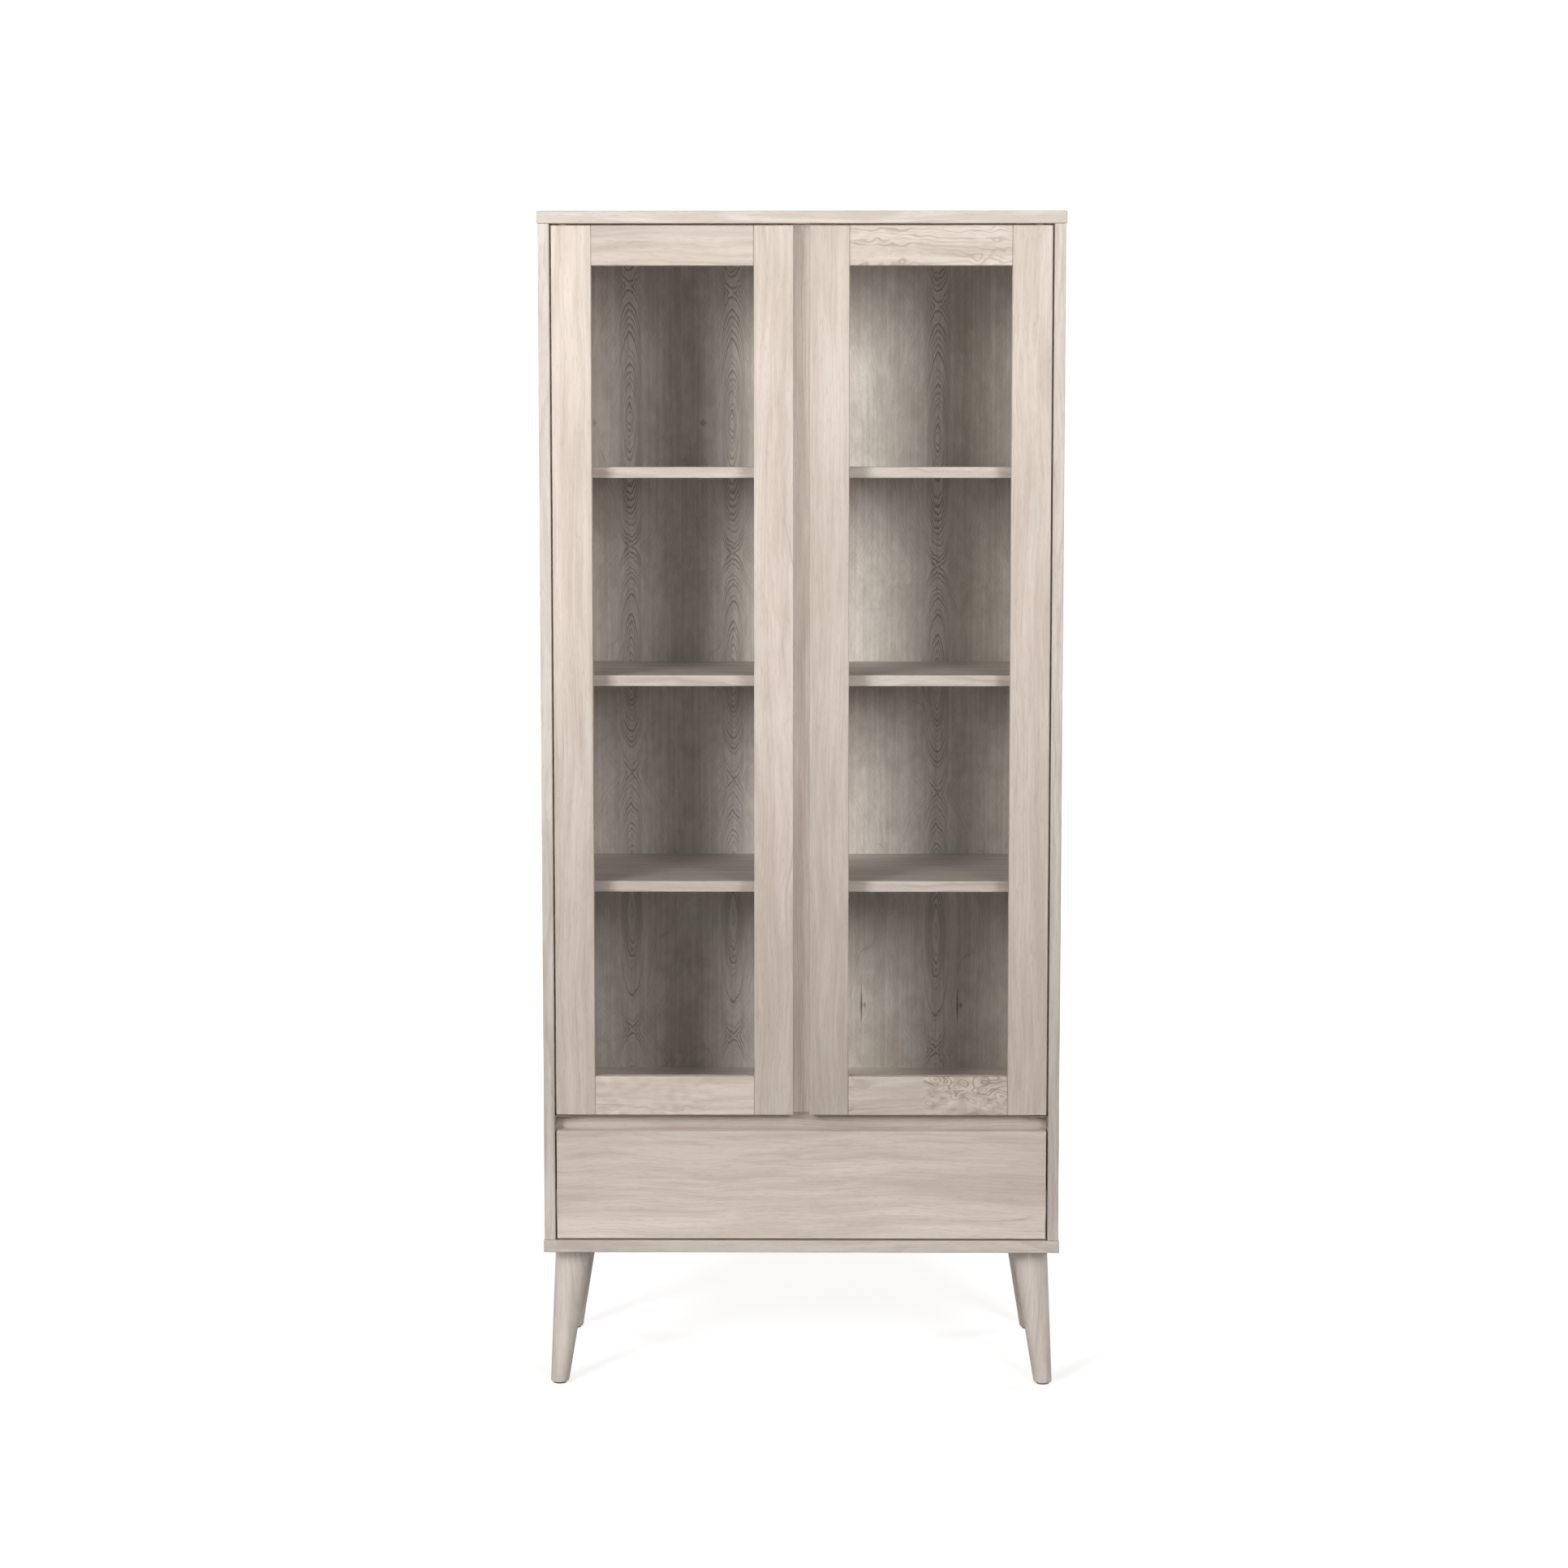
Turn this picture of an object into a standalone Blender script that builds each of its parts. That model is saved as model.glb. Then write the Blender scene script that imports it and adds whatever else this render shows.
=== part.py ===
"""Display cabinet in pale oak: two framed glass doors over one drawer, on four splayed turned legs.

Metres, +Z up. The origin is on the floor under the middle of the case, and -Y is the front.
"""

import math

import bmesh
import bpy
from mathutils import Matrix, Vector

# Case
CASE_WIDTH = 0.850
CASE_DEPTH = 0.400
CASE_HEIGHT = 1.700
BOARD_THICKNESS = 0.020
BOARD_OVERHANG = 0.0015
SIDE_THICKNESS = 0.018
BACK_THICKNESS = 0.006
BACK_REBATE = 0.008
CENTRE_STILE_WIDTH = 0.060
CENTRE_STILE_THICKNESS = 0.018
RAIL_HEIGHT = 0.036
RAIL_THICKNESS = 0.018
FLOOR_THICKNESS = 0.018

# Shelves and their pins
SHELF_THICKNESS = 0.018
SHELF_SETBACK = 0.048
LOWEST_SHELF = 0.382
SHELF_PITCH = 0.340
PIN_RADIUS = 0.0035
PIN_LENGTH = 0.010
PIN_IN_SIDE = 0.009
PIN_INSET = 0.050
PIN_SIDES = 12

# Legs
LEG_HEIGHT = 0.231
LEG_TOP_RADIUS = 0.030
LEG_FOOT_RADIUS = 0.0152
FOOT_INSET_X = 0.021
FOOT_INSET_Y = 0.041
LEG_SPLAY = 0.0225
LEG_SPARE = 0.030
LEG_STEPS = 48
BOLT_RADIUS = 0.004
BOLT_IN_LEG = 0.045
BOLT_IN_BOARD = 0.014
GLIDE_RADIUS = 0.011
GLIDE_THICKNESS = 0.0025
GLIDE_SIDES = 24

# Doors
DOOR_THICKNESS = 0.020
DOOR_REVEAL = 0.003
DOOR_GRIP_GAP = 0.026
DOOR_STOP_GAP = 0.003
STILE_WIDTH = 0.064
FRAME_RAIL_HEIGHT = 0.064
TENON_LENGTH = 0.020
TENON_THICKNESS = 0.006
TENON_SHOULDER = 0.012
FRONT_LIP = 0.008
GLASS_LAP = 0.008
GLASS_THICKNESS = 0.004

# Pivot hinges and magnetic catches
PIVOT_INSET = 0.020
PIVOT_PIN_RADIUS = 0.003
PIVOT_PIN_LENGTH = 0.012
PIVOT_FLANGE_RADIUS = 0.007
PIVOT_FLANGE = 0.001
PIVOT_HOLD = 0.008
BUSH_WALL = 0.002
BUSH_LENGTH = 0.014
BRACKET_THICKNESS = 0.002
BRACKET_WIDTH = 0.015
BRACKET_LEAF = 0.018
MAGNET_RADIUS = 0.005
MAGNET_LENGTH = 0.008
MAGNET_FROM_END = 0.070
CATCH_PLATE_RADIUS = 0.006
CATCH_PLATE_THICKNESS = 0.0012

# Drawer and its runners
DRAWER_FRONT_HEIGHT = 0.180
DRAWER_FRONT_THICKNESS = 0.019
DRAWER_GRIP_GAP = 0.027
DRAWER_WALL = 0.012
DRAWER_BOX_HEIGHT = 0.130
DRAWER_BOX_LENGTH = 0.330
DRAWER_BOX_LIFT = 0.013
DRAWER_BOTTOM_THICKNESS = 0.004
DRAWER_BOTTOM_LIFT = 0.010
DRAWER_GROOVE = 0.006
DRAWER_HOUSING = 0.004
RUNNER_LENGTH = 0.320
RUNNER_HEIGHT = 0.045
RUNNER_WIDTH = 0.0127
RUNNER_SHEET = 0.0012
RUNNER_LIFT = 0.022

# Clearances and edges
FIT = 0.0003
DOOR_FLOOR_GAP = 0.001
EDGE_ROUND = 0.0010
CUT_BEYOND = 0.010
ROUND_SIDES = 16
SHARP_ANGLE = math.radians(35)
MERGE_DISTANCE = 0.00001

# Levels and planes worked out from the sizes above
HALF_WIDTH = CASE_WIDTH / 2
FRONT = -CASE_DEPTH / 2
REAR = CASE_DEPTH / 2
SIDE_OUTER = HALF_WIDTH - BOARD_OVERHANG
SIDE_INNER = SIDE_OUTER - SIDE_THICKNESS
FACE = FRONT + BOARD_OVERHANG
BOTTOM_TOP = LEG_HEIGHT + BOARD_THICKNESS
TOP_UNDER = LEG_HEIGHT + CASE_HEIGHT - BOARD_THICKNESS
BACK_FRONT = REAR - FIT - BACK_THICKNESS
DRAWER_LOW = BOTTOM_TOP + DOOR_REVEAL
DRAWER_HIGH = DRAWER_LOW + DRAWER_FRONT_HEIGHT
DOOR_LOW = DRAWER_HIGH + DRAWER_GRIP_GAP
DOOR_HIGH = TOP_UNDER - DOOR_REVEAL
DOOR_OUTER = SIDE_INNER - DOOR_REVEAL
DOOR_INNER = DOOR_GRIP_GAP / 2
DOOR_BACK = FACE + DOOR_THICKNESS
FLOOR_TOP = DOOR_LOW - DOOR_FLOOR_GAP
STOP_FACE = DOOR_BACK + DOOR_STOP_GAP
PIVOT_X = DOOR_OUTER - PIVOT_INSET
PIVOT_Y = FACE + DOOR_THICKNESS / 2
GLASS_FRONT = FACE + FRONT_LIP
BOX_OUTER = SIDE_INNER - RUNNER_WIDTH
BOX_FRONT = FACE + DRAWER_FRONT_THICKNESS + FIT
BOX_BACK = BOX_FRONT + DRAWER_BOX_LENGTH
BOX_LOW = BOTTOM_TOP + DRAWER_BOX_LIFT
RUNNER_FRONT = BOX_FRONT + FIT
RUNNER_LEVEL = BOX_LOW + RUNNER_LIFT + RUNNER_HEIGHT / 2
SHELF_TOPS = [FLOOR_TOP + LOWEST_SHELF + step * SHELF_PITCH for step in range(3)]

# Finishes: base colour, roughness, metallic
OAK = ((0.66, 0.58, 0.50), 0.55, 0.0)
BACK_OAK = ((0.50, 0.45, 0.39), 0.60, 0.0)
GLASS = ((0.80, 0.84, 0.83), 0.02, 0.0)
STEEL = ((0.62, 0.62, 0.62), 0.35, 1.0)
NICKEL = ((0.66, 0.63, 0.58), 0.25, 1.0)
DARK_STEEL = ((0.16, 0.14, 0.12), 0.50, 1.0)
BIRCH = ((0.72, 0.64, 0.52), 0.55, 0.0)
PLASTIC = ((0.30, 0.27, 0.24), 0.60, 0.0)


def clear_scene():
    for old in list(bpy.data.objects):
        bpy.data.objects.remove(old, do_unlink=True)


def make_collection(name):
    made = bpy.data.collections.new(name)
    bpy.context.scene.collection.children.link(made)
    return made


clear_scene()
CABINET = make_collection("display_cabinet")
CUTTERS = make_collection("cutters")


def material(name, finish):
    colour, roughness, metallic = finish
    made = bpy.data.materials.new(name)
    made.use_nodes = True
    shader = made.node_tree.nodes["Principled BSDF"]
    shader.inputs["Base Color"].default_value = (*colour, 1.0)
    shader.inputs["Roughness"].default_value = roughness
    shader.inputs["Metallic"].default_value = metallic
    made.diffuse_color = (*colour, 1.0)
    return made


def pivot_empty(name, location):
    """An empty on a joint's axis, which carries the pieces that move with that joint."""
    made = bpy.data.objects.new(name, None)
    made.location = location
    CABINET.objects.link(made)
    return made


def place(obj, location, parent):
    """Puts an object at a world location under its parent, which is never turned."""
    obj.location = Vector(location) - (parent.location if parent else Vector())
    obj.parent = parent


def piece(name, data, finish, location=(0, 0, 0), parent=None):
    """A visible sub-part with a material of its own."""
    made = bpy.data.objects.new(name, data)
    CABINET.objects.link(made)
    data.materials.clear()
    data.materials.append(material(name, finish))
    place(made, location, parent)
    return made


def cube_mesh(name, size):
    mesh = bpy.data.meshes.new(name)
    shape = bmesh.new()
    bmesh.ops.create_cube(shape, size=1.0, matrix=Matrix.Diagonal((*size, 1.0)))
    shape.to_mesh(mesh)
    shape.free()
    return mesh


def centre_and_size(low, high):
    low = Vector(low)
    high = Vector(high)
    return (low + high) / 2, high - low


def board(name, low, high, finish=OAK, parent=None, rounding=EDGE_ROUND):
    """A straight board between two corners, its edges eased by a small bevel."""
    centre, size = centre_and_size(low, high)
    made = piece(name, cube_mesh(name, size), finish, centre, parent)
    if rounding:
        bevel = made.modifiers.new("eased_edges", "BEVEL")
        bevel.width = rounding
        bevel.segments = 1
    return made


def cutter(name, mesh, location=(0, 0, 0), rotation=(0, 0, 0)):
    made = bpy.data.objects.new(name, mesh)
    CUTTERS.objects.link(made)
    made.location = location
    made.rotation_euler = rotation
    made.hide_render = True
    made.display_type = "WIRE"
    return made


def box_cutter(name, low, high):
    centre, size = centre_and_size(low, high)
    return cutter(name, cube_mesh(name, size), centre)


def cylinder_mesh(name, radius, length, sides):
    mesh = bpy.data.meshes.new(name)
    shape = bmesh.new()
    bmesh.ops.create_cone(
        shape, cap_ends=True, segments=sides, radius1=radius, radius2=radius, depth=length
    )
    shape.to_mesh(mesh)
    shape.free()
    return mesh


def bore_cutter(name, centre, radius, length, rotation=(0, 0, 0), sides=ROUND_SIDES):
    return cutter(name, cylinder_mesh(name, radius, length, sides), centre, rotation)


def boolean(obj, other, operation="DIFFERENCE"):
    step = obj.modifiers.new(other.name, "BOOLEAN")
    step.operation = operation
    step.object = other
    step.solver = "EXACT"


def turned_mesh(name, profile, steps):
    """A solid of revolution: profile holds (radius, height) pairs, top first, down the outer side."""
    outline = bpy.data.meshes.new(name + "_profile")
    points = [(radius, 0.0, height) for radius, height in profile]
    closed = profile[0][0] > 0
    edges = [(i, i + 1) for i in range(len(points) - 1)]
    if closed:
        edges.append((len(points) - 1, 0))
    outline.from_pydata(points, edges, [])
    helper = bpy.data.objects.new(name + "_profile", outline)
    CUTTERS.objects.link(helper)
    screw = helper.modifiers.new("turn", "SCREW")
    screw.steps = steps
    screw.render_steps = steps
    screw.use_merge_vertices = True
    screw.merge_threshold = MERGE_DISTANCE
    screw.use_smooth_shade = True
    bpy.context.view_layer.update()
    graph = bpy.context.evaluated_depsgraph_get()
    mesh = bpy.data.meshes.new_from_object(helper.evaluated_get(graph))
    mesh.name = name
    mesh.set_sharp_from_angle(angle=SHARP_ANGLE)
    bpy.data.objects.remove(helper, do_unlink=True)
    return mesh


def extrusion(name, outline, low_y, high_y, finish, parent=None, x=0.0, z=0.0):
    """A flat outline in X and Z, drawn out along Y."""
    curve = bpy.data.curves.new(name, "CURVE")
    curve.dimensions = "2D"
    curve.fill_mode = "BOTH"
    curve.extrude = (high_y - low_y) / 2
    spline = curve.splines.new("POLY")
    spline.points.add(len(outline) - 1)
    for point, (across, up) in zip(spline.points, outline):
        point.co = (across, up, 0.0, 1.0)
    spline.use_cyclic_u = True
    middle = (x, (low_y + high_y) / 2, z)
    made = piece(name, curve, finish, middle, parent)
    made.rotation_euler = (math.pi / 2, 0.0, 0.0)
    return made


# Case: boards, sides, back, floor and centre stile
def build_case():
    top_high = LEG_HEIGHT + CASE_HEIGHT
    top = board("top_board", (-HALF_WIDTH, FRONT, TOP_UNDER), (HALF_WIDTH, REAR, top_high))
    bottom = board("bottom_board", (-HALF_WIDTH, FRONT, LEG_HEIGHT), (HALF_WIDTH, REAR, BOTTOM_TOP))
    sides = []
    for name, side in (("left_side", -1), ("right_side", 1)):
        across = sorted((side * SIDE_INNER, side * SIDE_OUTER))
        low = (across[0], FACE, BOTTOM_TOP + FIT)
        high = (across[1], REAR, TOP_UNDER - FIT)
        sides.append(board(name, low, high))

    lap = BACK_REBATE
    low = Vector((-SIDE_INNER - lap, BACK_FRONT, BOTTOM_TOP - lap))
    high = Vector((SIDE_INNER + lap, REAR - FIT, TOP_UNDER + lap))
    board("back_panel", low, high, BACK_OAK, rounding=0)
    room = Vector((FIT, FIT, FIT))
    rebate = box_cutter("back_rebate", low - room, high + room + Vector((0, BACK_REBATE, 0)))
    for obj in (top, bottom, *sides):
        boolean(obj, rebate)

    inner = SIDE_INNER - FIT
    rail_low = FLOOR_TOP - RAIL_HEIGHT
    rail_back = STOP_FACE + RAIL_THICKNESS
    board("drawer_rail", (-inner, STOP_FACE, rail_low), (inner, rail_back, FLOOR_TOP))
    floor_low = FLOOR_TOP - FLOOR_THICKNESS
    board(
        "floor_board",
        (-inner, rail_back + FIT, floor_low),
        (inner, BACK_FRONT - FIT, FLOOR_TOP),
        rounding=0,
    )
    half = CENTRE_STILE_WIDTH / 2
    stile = board(
        "centre_stile",
        (-half, STOP_FACE, FLOOR_TOP + FIT),
        (half, STOP_FACE + CENTRE_STILE_THICKNESS, TOP_UNDER - FIT),
    )
    return top, bottom, sides, stile


# Shelves on pins that are set in the sides
def build_shelves(sides):
    names = ("lower_shelf", "middle_shelf", "upper_shelf")
    shelf_front = FRONT + SHELF_SETBACK
    shelf_back = BACK_FRONT - FIT
    pin_rows = {"front": shelf_front + PIN_INSET, "back": shelf_back - PIN_INSET}
    length = PIN_LENGTH + PIN_IN_SIDE
    for name, top in zip(names, SHELF_TOPS):
        low = (-SIDE_INNER + FIT, shelf_front, top - SHELF_THICKNESS)
        board(name, low, (SIDE_INNER - FIT, shelf_back, top))
        level = top - SHELF_THICKNESS - FIT - PIN_RADIUS
        for side, obj in zip((-1, 1), sides):
            across = side * (SIDE_INNER + (PIN_IN_SIDE - PIN_LENGTH) / 2)
            for row, depth in pin_rows.items():
                label = f"{obj.name}_{name}_{row}_pin"
                turn = (0, math.pi / 2, 0)
                pin = bore_cutter(label, (across, depth, level), PIN_RADIUS, length, turn, PIN_SIDES)
                boolean(obj, pin, "UNION")


# Turned legs that taper and lean outwards, with their bolts and glides
def build_legs(bottom):
    foot_x = SIDE_OUTER - FOOT_INSET_X
    foot_y = CASE_DEPTH / 2 - FOOT_INSET_Y
    taper = (LEG_TOP_RADIUS - LEG_FOOT_RADIUS) / LEG_HEIGHT
    profile = [
        (0, LEG_HEIGHT + LEG_SPARE),
        (LEG_TOP_RADIUS + taper * LEG_SPARE, LEG_HEIGHT + LEG_SPARE),
        (LEG_FOOT_RADIUS - taper * LEG_SPARE, -LEG_SPARE),
        (0, -LEG_SPARE),
    ]
    reach = CASE_DEPTH
    foot_level = GLIDE_THICKNESS + FIT
    trim = box_cutter(
        "leg_trim",
        (-CASE_WIDTH, -reach, foot_level),
        (CASE_WIDTH, reach, LEG_HEIGHT - FIT),
    )
    bolt_length = BOLT_IN_LEG + BOLT_IN_BOARD
    bolt_middle = LEG_HEIGHT + (BOLT_IN_BOARD - BOLT_IN_LEG) / 2
    for row, front in (("front", -1), ("back", 1)):
        for column, side in (("left", -1), ("right", 1)):
            name = f"{row}_{column}_leg"
            foot = Vector((side * foot_x, front * foot_y, 0.0))
            head = foot + Vector((-side * LEG_SPLAY, -front * LEG_SPLAY, LEG_HEIGHT))
            leg = piece(name, turned_mesh(name, profile, LEG_STEPS), OAK, location=foot)
            leg.rotation_euler = (head - foot).to_track_quat("Z", "Y").to_euler()
            boolean(leg, trim, "INTERSECT")
            bolt_at = Vector((head.x, head.y, bolt_middle))
            bore = bore_cutter(name + "_bore", bolt_at, BOLT_RADIUS + FIT, bolt_length + 2 * FIT)
            boolean(leg, bore)
            boolean(bottom, bore)
            bolt = cylinder_mesh(name + "_bolt", BOLT_RADIUS, bolt_length, ROUND_SIDES)
            piece(name + "_bolt", bolt, STEEL, bolt_at)
            glide = cylinder_mesh(name + "_glide", GLIDE_RADIUS, GLIDE_THICKNESS, GLIDE_SIDES)
            piece(name + "_glide", glide, PLASTIC, foot + Vector((0, 0, GLIDE_THICKNESS / 2)))


# One framed glass door. side is -1 for the left door and 1 for the right one.
def build_door(label, side, top_board, centre_stile):
    hinge = pivot_empty(label + "_axis", (side * PIVOT_X, PIVOT_Y, DOOR_LOW))

    def span(near, far, low_y, high_y, low_z, high_z):
        """The low and high corners of a box between two distances from the middle of the case."""
        across = sorted((side * near, side * far))
        return Vector((across[0], low_y, low_z)), Vector((across[1], high_y, high_z))

    stiles = {
        "meeting_stile": (DOOR_INNER, DOOR_INNER + STILE_WIDTH),
        "hinge_stile": (DOOR_OUTER - STILE_WIDTH, DOOR_OUTER),
    }
    opening_near = DOOR_INNER + STILE_WIDTH
    opening_far = DOOR_OUTER - STILE_WIDTH
    opening_low = DOOR_LOW + FRAME_RAIL_HEIGHT
    opening_high = DOOR_HIGH - FRAME_RAIL_HEIGHT

    pane_near = opening_near - GLASS_LAP
    pane_far = opening_far + GLASS_LAP
    pane_low = opening_low - GLASS_LAP
    pane_high = opening_high + GLASS_LAP
    cut_back = DOOR_BACK + CUT_BEYOND
    pocket_span = span(pane_near, pane_far, GLASS_FRONT, cut_back, pane_low, pane_high)
    pocket = box_cutter(label + "_glass_pocket", *pocket_span)

    tenon_front = FACE + (DOOR_THICKNESS - TENON_THICKNESS) / 2
    tenon_back = tenon_front + TENON_THICKNESS
    tenons = []
    mortises = []
    for name, low, high in (
        ("bottom_rail", DOOR_LOW, opening_low),
        ("top_rail", opening_high, DOOR_HIGH),
    ):
        tenon_low = low + TENON_SHOULDER
        tenon_high = high - TENON_SHOULDER
        near = opening_near - TENON_LENGTH
        far = opening_far + TENON_LENGTH
        corners = span(near, far, tenon_front, tenon_back, tenon_low, tenon_high)
        tenon = box_cutter(f"{label}_{name}_tenon", *corners)
        tenons.append(tenon)
        room = Vector((FIT, FIT, FIT))
        mortises.append(box_cutter(f"{label}_{name}_mortise", corners[0] - room, corners[1] + room))
        corners = span(opening_near + FIT, opening_far - FIT, FACE, DOOR_BACK, low, high)
        rail = board(f"{label}_{name}", *corners, parent=hinge)
        boolean(rail, tenon, "UNION")
        boolean(rail, pocket)

    for name, (near, far) in stiles.items():
        corners = span(near, far, FACE, DOOR_BACK, DOOR_LOW, DOOR_HIGH)
        stile = board(f"{label}_{name}", *corners, parent=hinge)
        for mortise in mortises:
            boolean(stile, mortise)
        boolean(stile, pocket)
        if name == "hinge_stile":
            build_bushes(label, side, stile, hinge)

    corners = span(
        pane_near + FIT,
        pane_far - FIT,
        GLASS_FRONT + FIT,
        GLASS_FRONT + FIT + GLASS_THICKNESS,
        pane_low + FIT,
        pane_high - FIT,
    )
    board(f"{label}_glass", *corners, GLASS, hinge, rounding=0)
    bead_front = GLASS_FRONT + GLASS_THICKNESS + 2 * FIT
    corners = span(
        pane_near + FIT,
        pane_far - FIT,
        bead_front,
        DOOR_BACK,
        pane_low + FIT,
        pane_high - FIT,
    )
    bead = board(f"{label}_glass_bead", *corners, parent=hinge, rounding=0)
    sight = span(opening_near, opening_far, GLASS_FRONT, cut_back, opening_low, opening_high)
    boolean(bead, box_cutter(f"{label}_sight", *sight))

    build_pivots(label, side, top_board)
    build_catch(label, side, hinge, centre_stile)


def build_bushes(label, side, stile, hinge):
    """Flanged steel bushes let into both ends of the hinge stile."""
    inner = PIVOT_PIN_RADIUS + FIT
    outer = inner + BUSH_WALL
    profile = [
        (inner, FIT + PIVOT_FLANGE),
        (PIVOT_FLANGE_RADIUS, FIT + PIVOT_FLANGE),
        (PIVOT_FLANGE_RADIUS, FIT),
        (outer, FIT),
        (outer, -BUSH_LENGTH),
        (inner, -BUSH_LENGTH),
    ]
    depth = 2 * (BUSH_LENGTH + FIT)
    for end, level, turn in (("lower", DOOR_LOW, math.pi), ("upper", DOOR_HIGH, 0.0)):
        centre = Vector((side * PIVOT_X, PIVOT_Y, level))
        name = f"{label}_{end}_bush"
        bush = piece(name, turned_mesh(name, profile, ROUND_SIDES), STEEL, centre, hinge)
        bush.rotation_euler = (turn, 0.0, 0.0)
        boolean(stile, bore_cutter(name + "_bore", centre, outer + FIT, depth))


def build_pivots(label, side, top_board):
    """The upper pin hangs from the top board; the lower one stands on a bracket on the side."""
    profile = [
        (0, PIVOT_HOLD),
        (PIVOT_PIN_RADIUS, PIVOT_HOLD),
        (PIVOT_PIN_RADIUS, -FIT),
        (PIVOT_FLANGE_RADIUS, -FIT),
        (PIVOT_FLANGE_RADIUS, -FIT - PIVOT_FLANGE),
        (PIVOT_PIN_RADIUS, -FIT - PIVOT_FLANGE),
        (PIVOT_PIN_RADIUS, -DOOR_REVEAL - PIVOT_PIN_LENGTH),
        (0, -DOOR_REVEAL - PIVOT_PIN_LENGTH),
    ]
    name = f"{label}_upper_pivot"
    at = (side * PIVOT_X, PIVOT_Y, TOP_UNDER)
    piece(name, turned_mesh(name, profile, ROUND_SIDES), STEEL, at)
    depth = 2 * (PIVOT_HOLD + FIT)
    boolean(top_board, bore_cutter(f"{name}_bore", at, PIVOT_PIN_RADIUS + FIT, depth))

    tab_top = DOOR_LOW - 2 * FIT - PIVOT_FLANGE
    wall = SIDE_INNER - FIT
    reach = PIVOT_X - PIVOT_FLANGE_RADIUS
    thick = BRACKET_THICKNESS
    outline = [
        (wall, 0),
        (reach, 0),
        (reach, -thick),
        (wall - thick, -thick),
        (wall - thick, -BRACKET_LEAF),
        (wall, -BRACKET_LEAF),
    ]
    if side < 0:
        outline = [(-across, up) for across, up in reversed(outline)]
    low_y = PIVOT_Y - BRACKET_WIDTH / 2
    high_y = PIVOT_Y + BRACKET_WIDTH / 2
    name = f"{label}_lower_pivot"
    angle = extrusion(name + "_angle", outline, low_y, high_y, DARK_STEEL, z=tab_top)
    bpy.context.view_layer.update()
    graph = bpy.context.evaluated_depsgraph_get()
    mesh = bpy.data.meshes.new_from_object(angle.evaluated_get(graph))
    mesh.transform(angle.matrix_world)
    shape = bmesh.new()
    shape.from_mesh(mesh)
    bmesh.ops.remove_doubles(shape, verts=shape.verts[:], dist=MERGE_DISTANCE)
    shape.to_mesh(mesh)
    shape.free()
    bpy.data.objects.remove(angle, do_unlink=True)
    bracket = piece(name, mesh, DARK_STEEL)
    into_tab = thick / 2
    pin_length = PIVOT_PIN_LENGTH + into_tab
    centre = (side * PIVOT_X, PIVOT_Y, tab_top - into_tab + pin_length / 2)
    boolean(bracket, bore_cutter(name + "_pin", centre, PIVOT_PIN_RADIUS, pin_length), "UNION")


def build_catch(label, side, hinge, centre_stile):
    """A round magnet in the centre stile holds a steel plate on the back of the meeting stile."""
    across = side * (DOOR_INNER + CENTRE_STILE_WIDTH / 2) / 2
    level = DOOR_HIGH - MAGNET_FROM_END
    plate_back = DOOR_BACK + FIT + CATCH_PLATE_THICKNESS
    magnet_front = plate_back + FIT
    along_y = (math.pi / 2, 0, 0)
    name = f"{label}_catch_plate"
    centre = Vector((across, plate_back - CATCH_PLATE_THICKNESS / 2, level))
    mesh = cylinder_mesh(name, CATCH_PLATE_RADIUS, CATCH_PLATE_THICKNESS, ROUND_SIDES)
    plate = piece(name, mesh, NICKEL, centre, hinge)
    plate.rotation_euler = along_y
    name = f"{label}_catch_magnet"
    centre = Vector((across, magnet_front + MAGNET_LENGTH / 2, level))
    mesh = cylinder_mesh(name, MAGNET_RADIUS, MAGNET_LENGTH, ROUND_SIDES)
    magnet = piece(name, mesh, NICKEL, centre)
    magnet.rotation_euler = along_y
    room = MAGNET_LENGTH + 2 * FIT
    bore = bore_cutter(name + "_bore", centre, MAGNET_RADIUS + FIT, room, along_y)
    boolean(centre_stile, bore)


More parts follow.
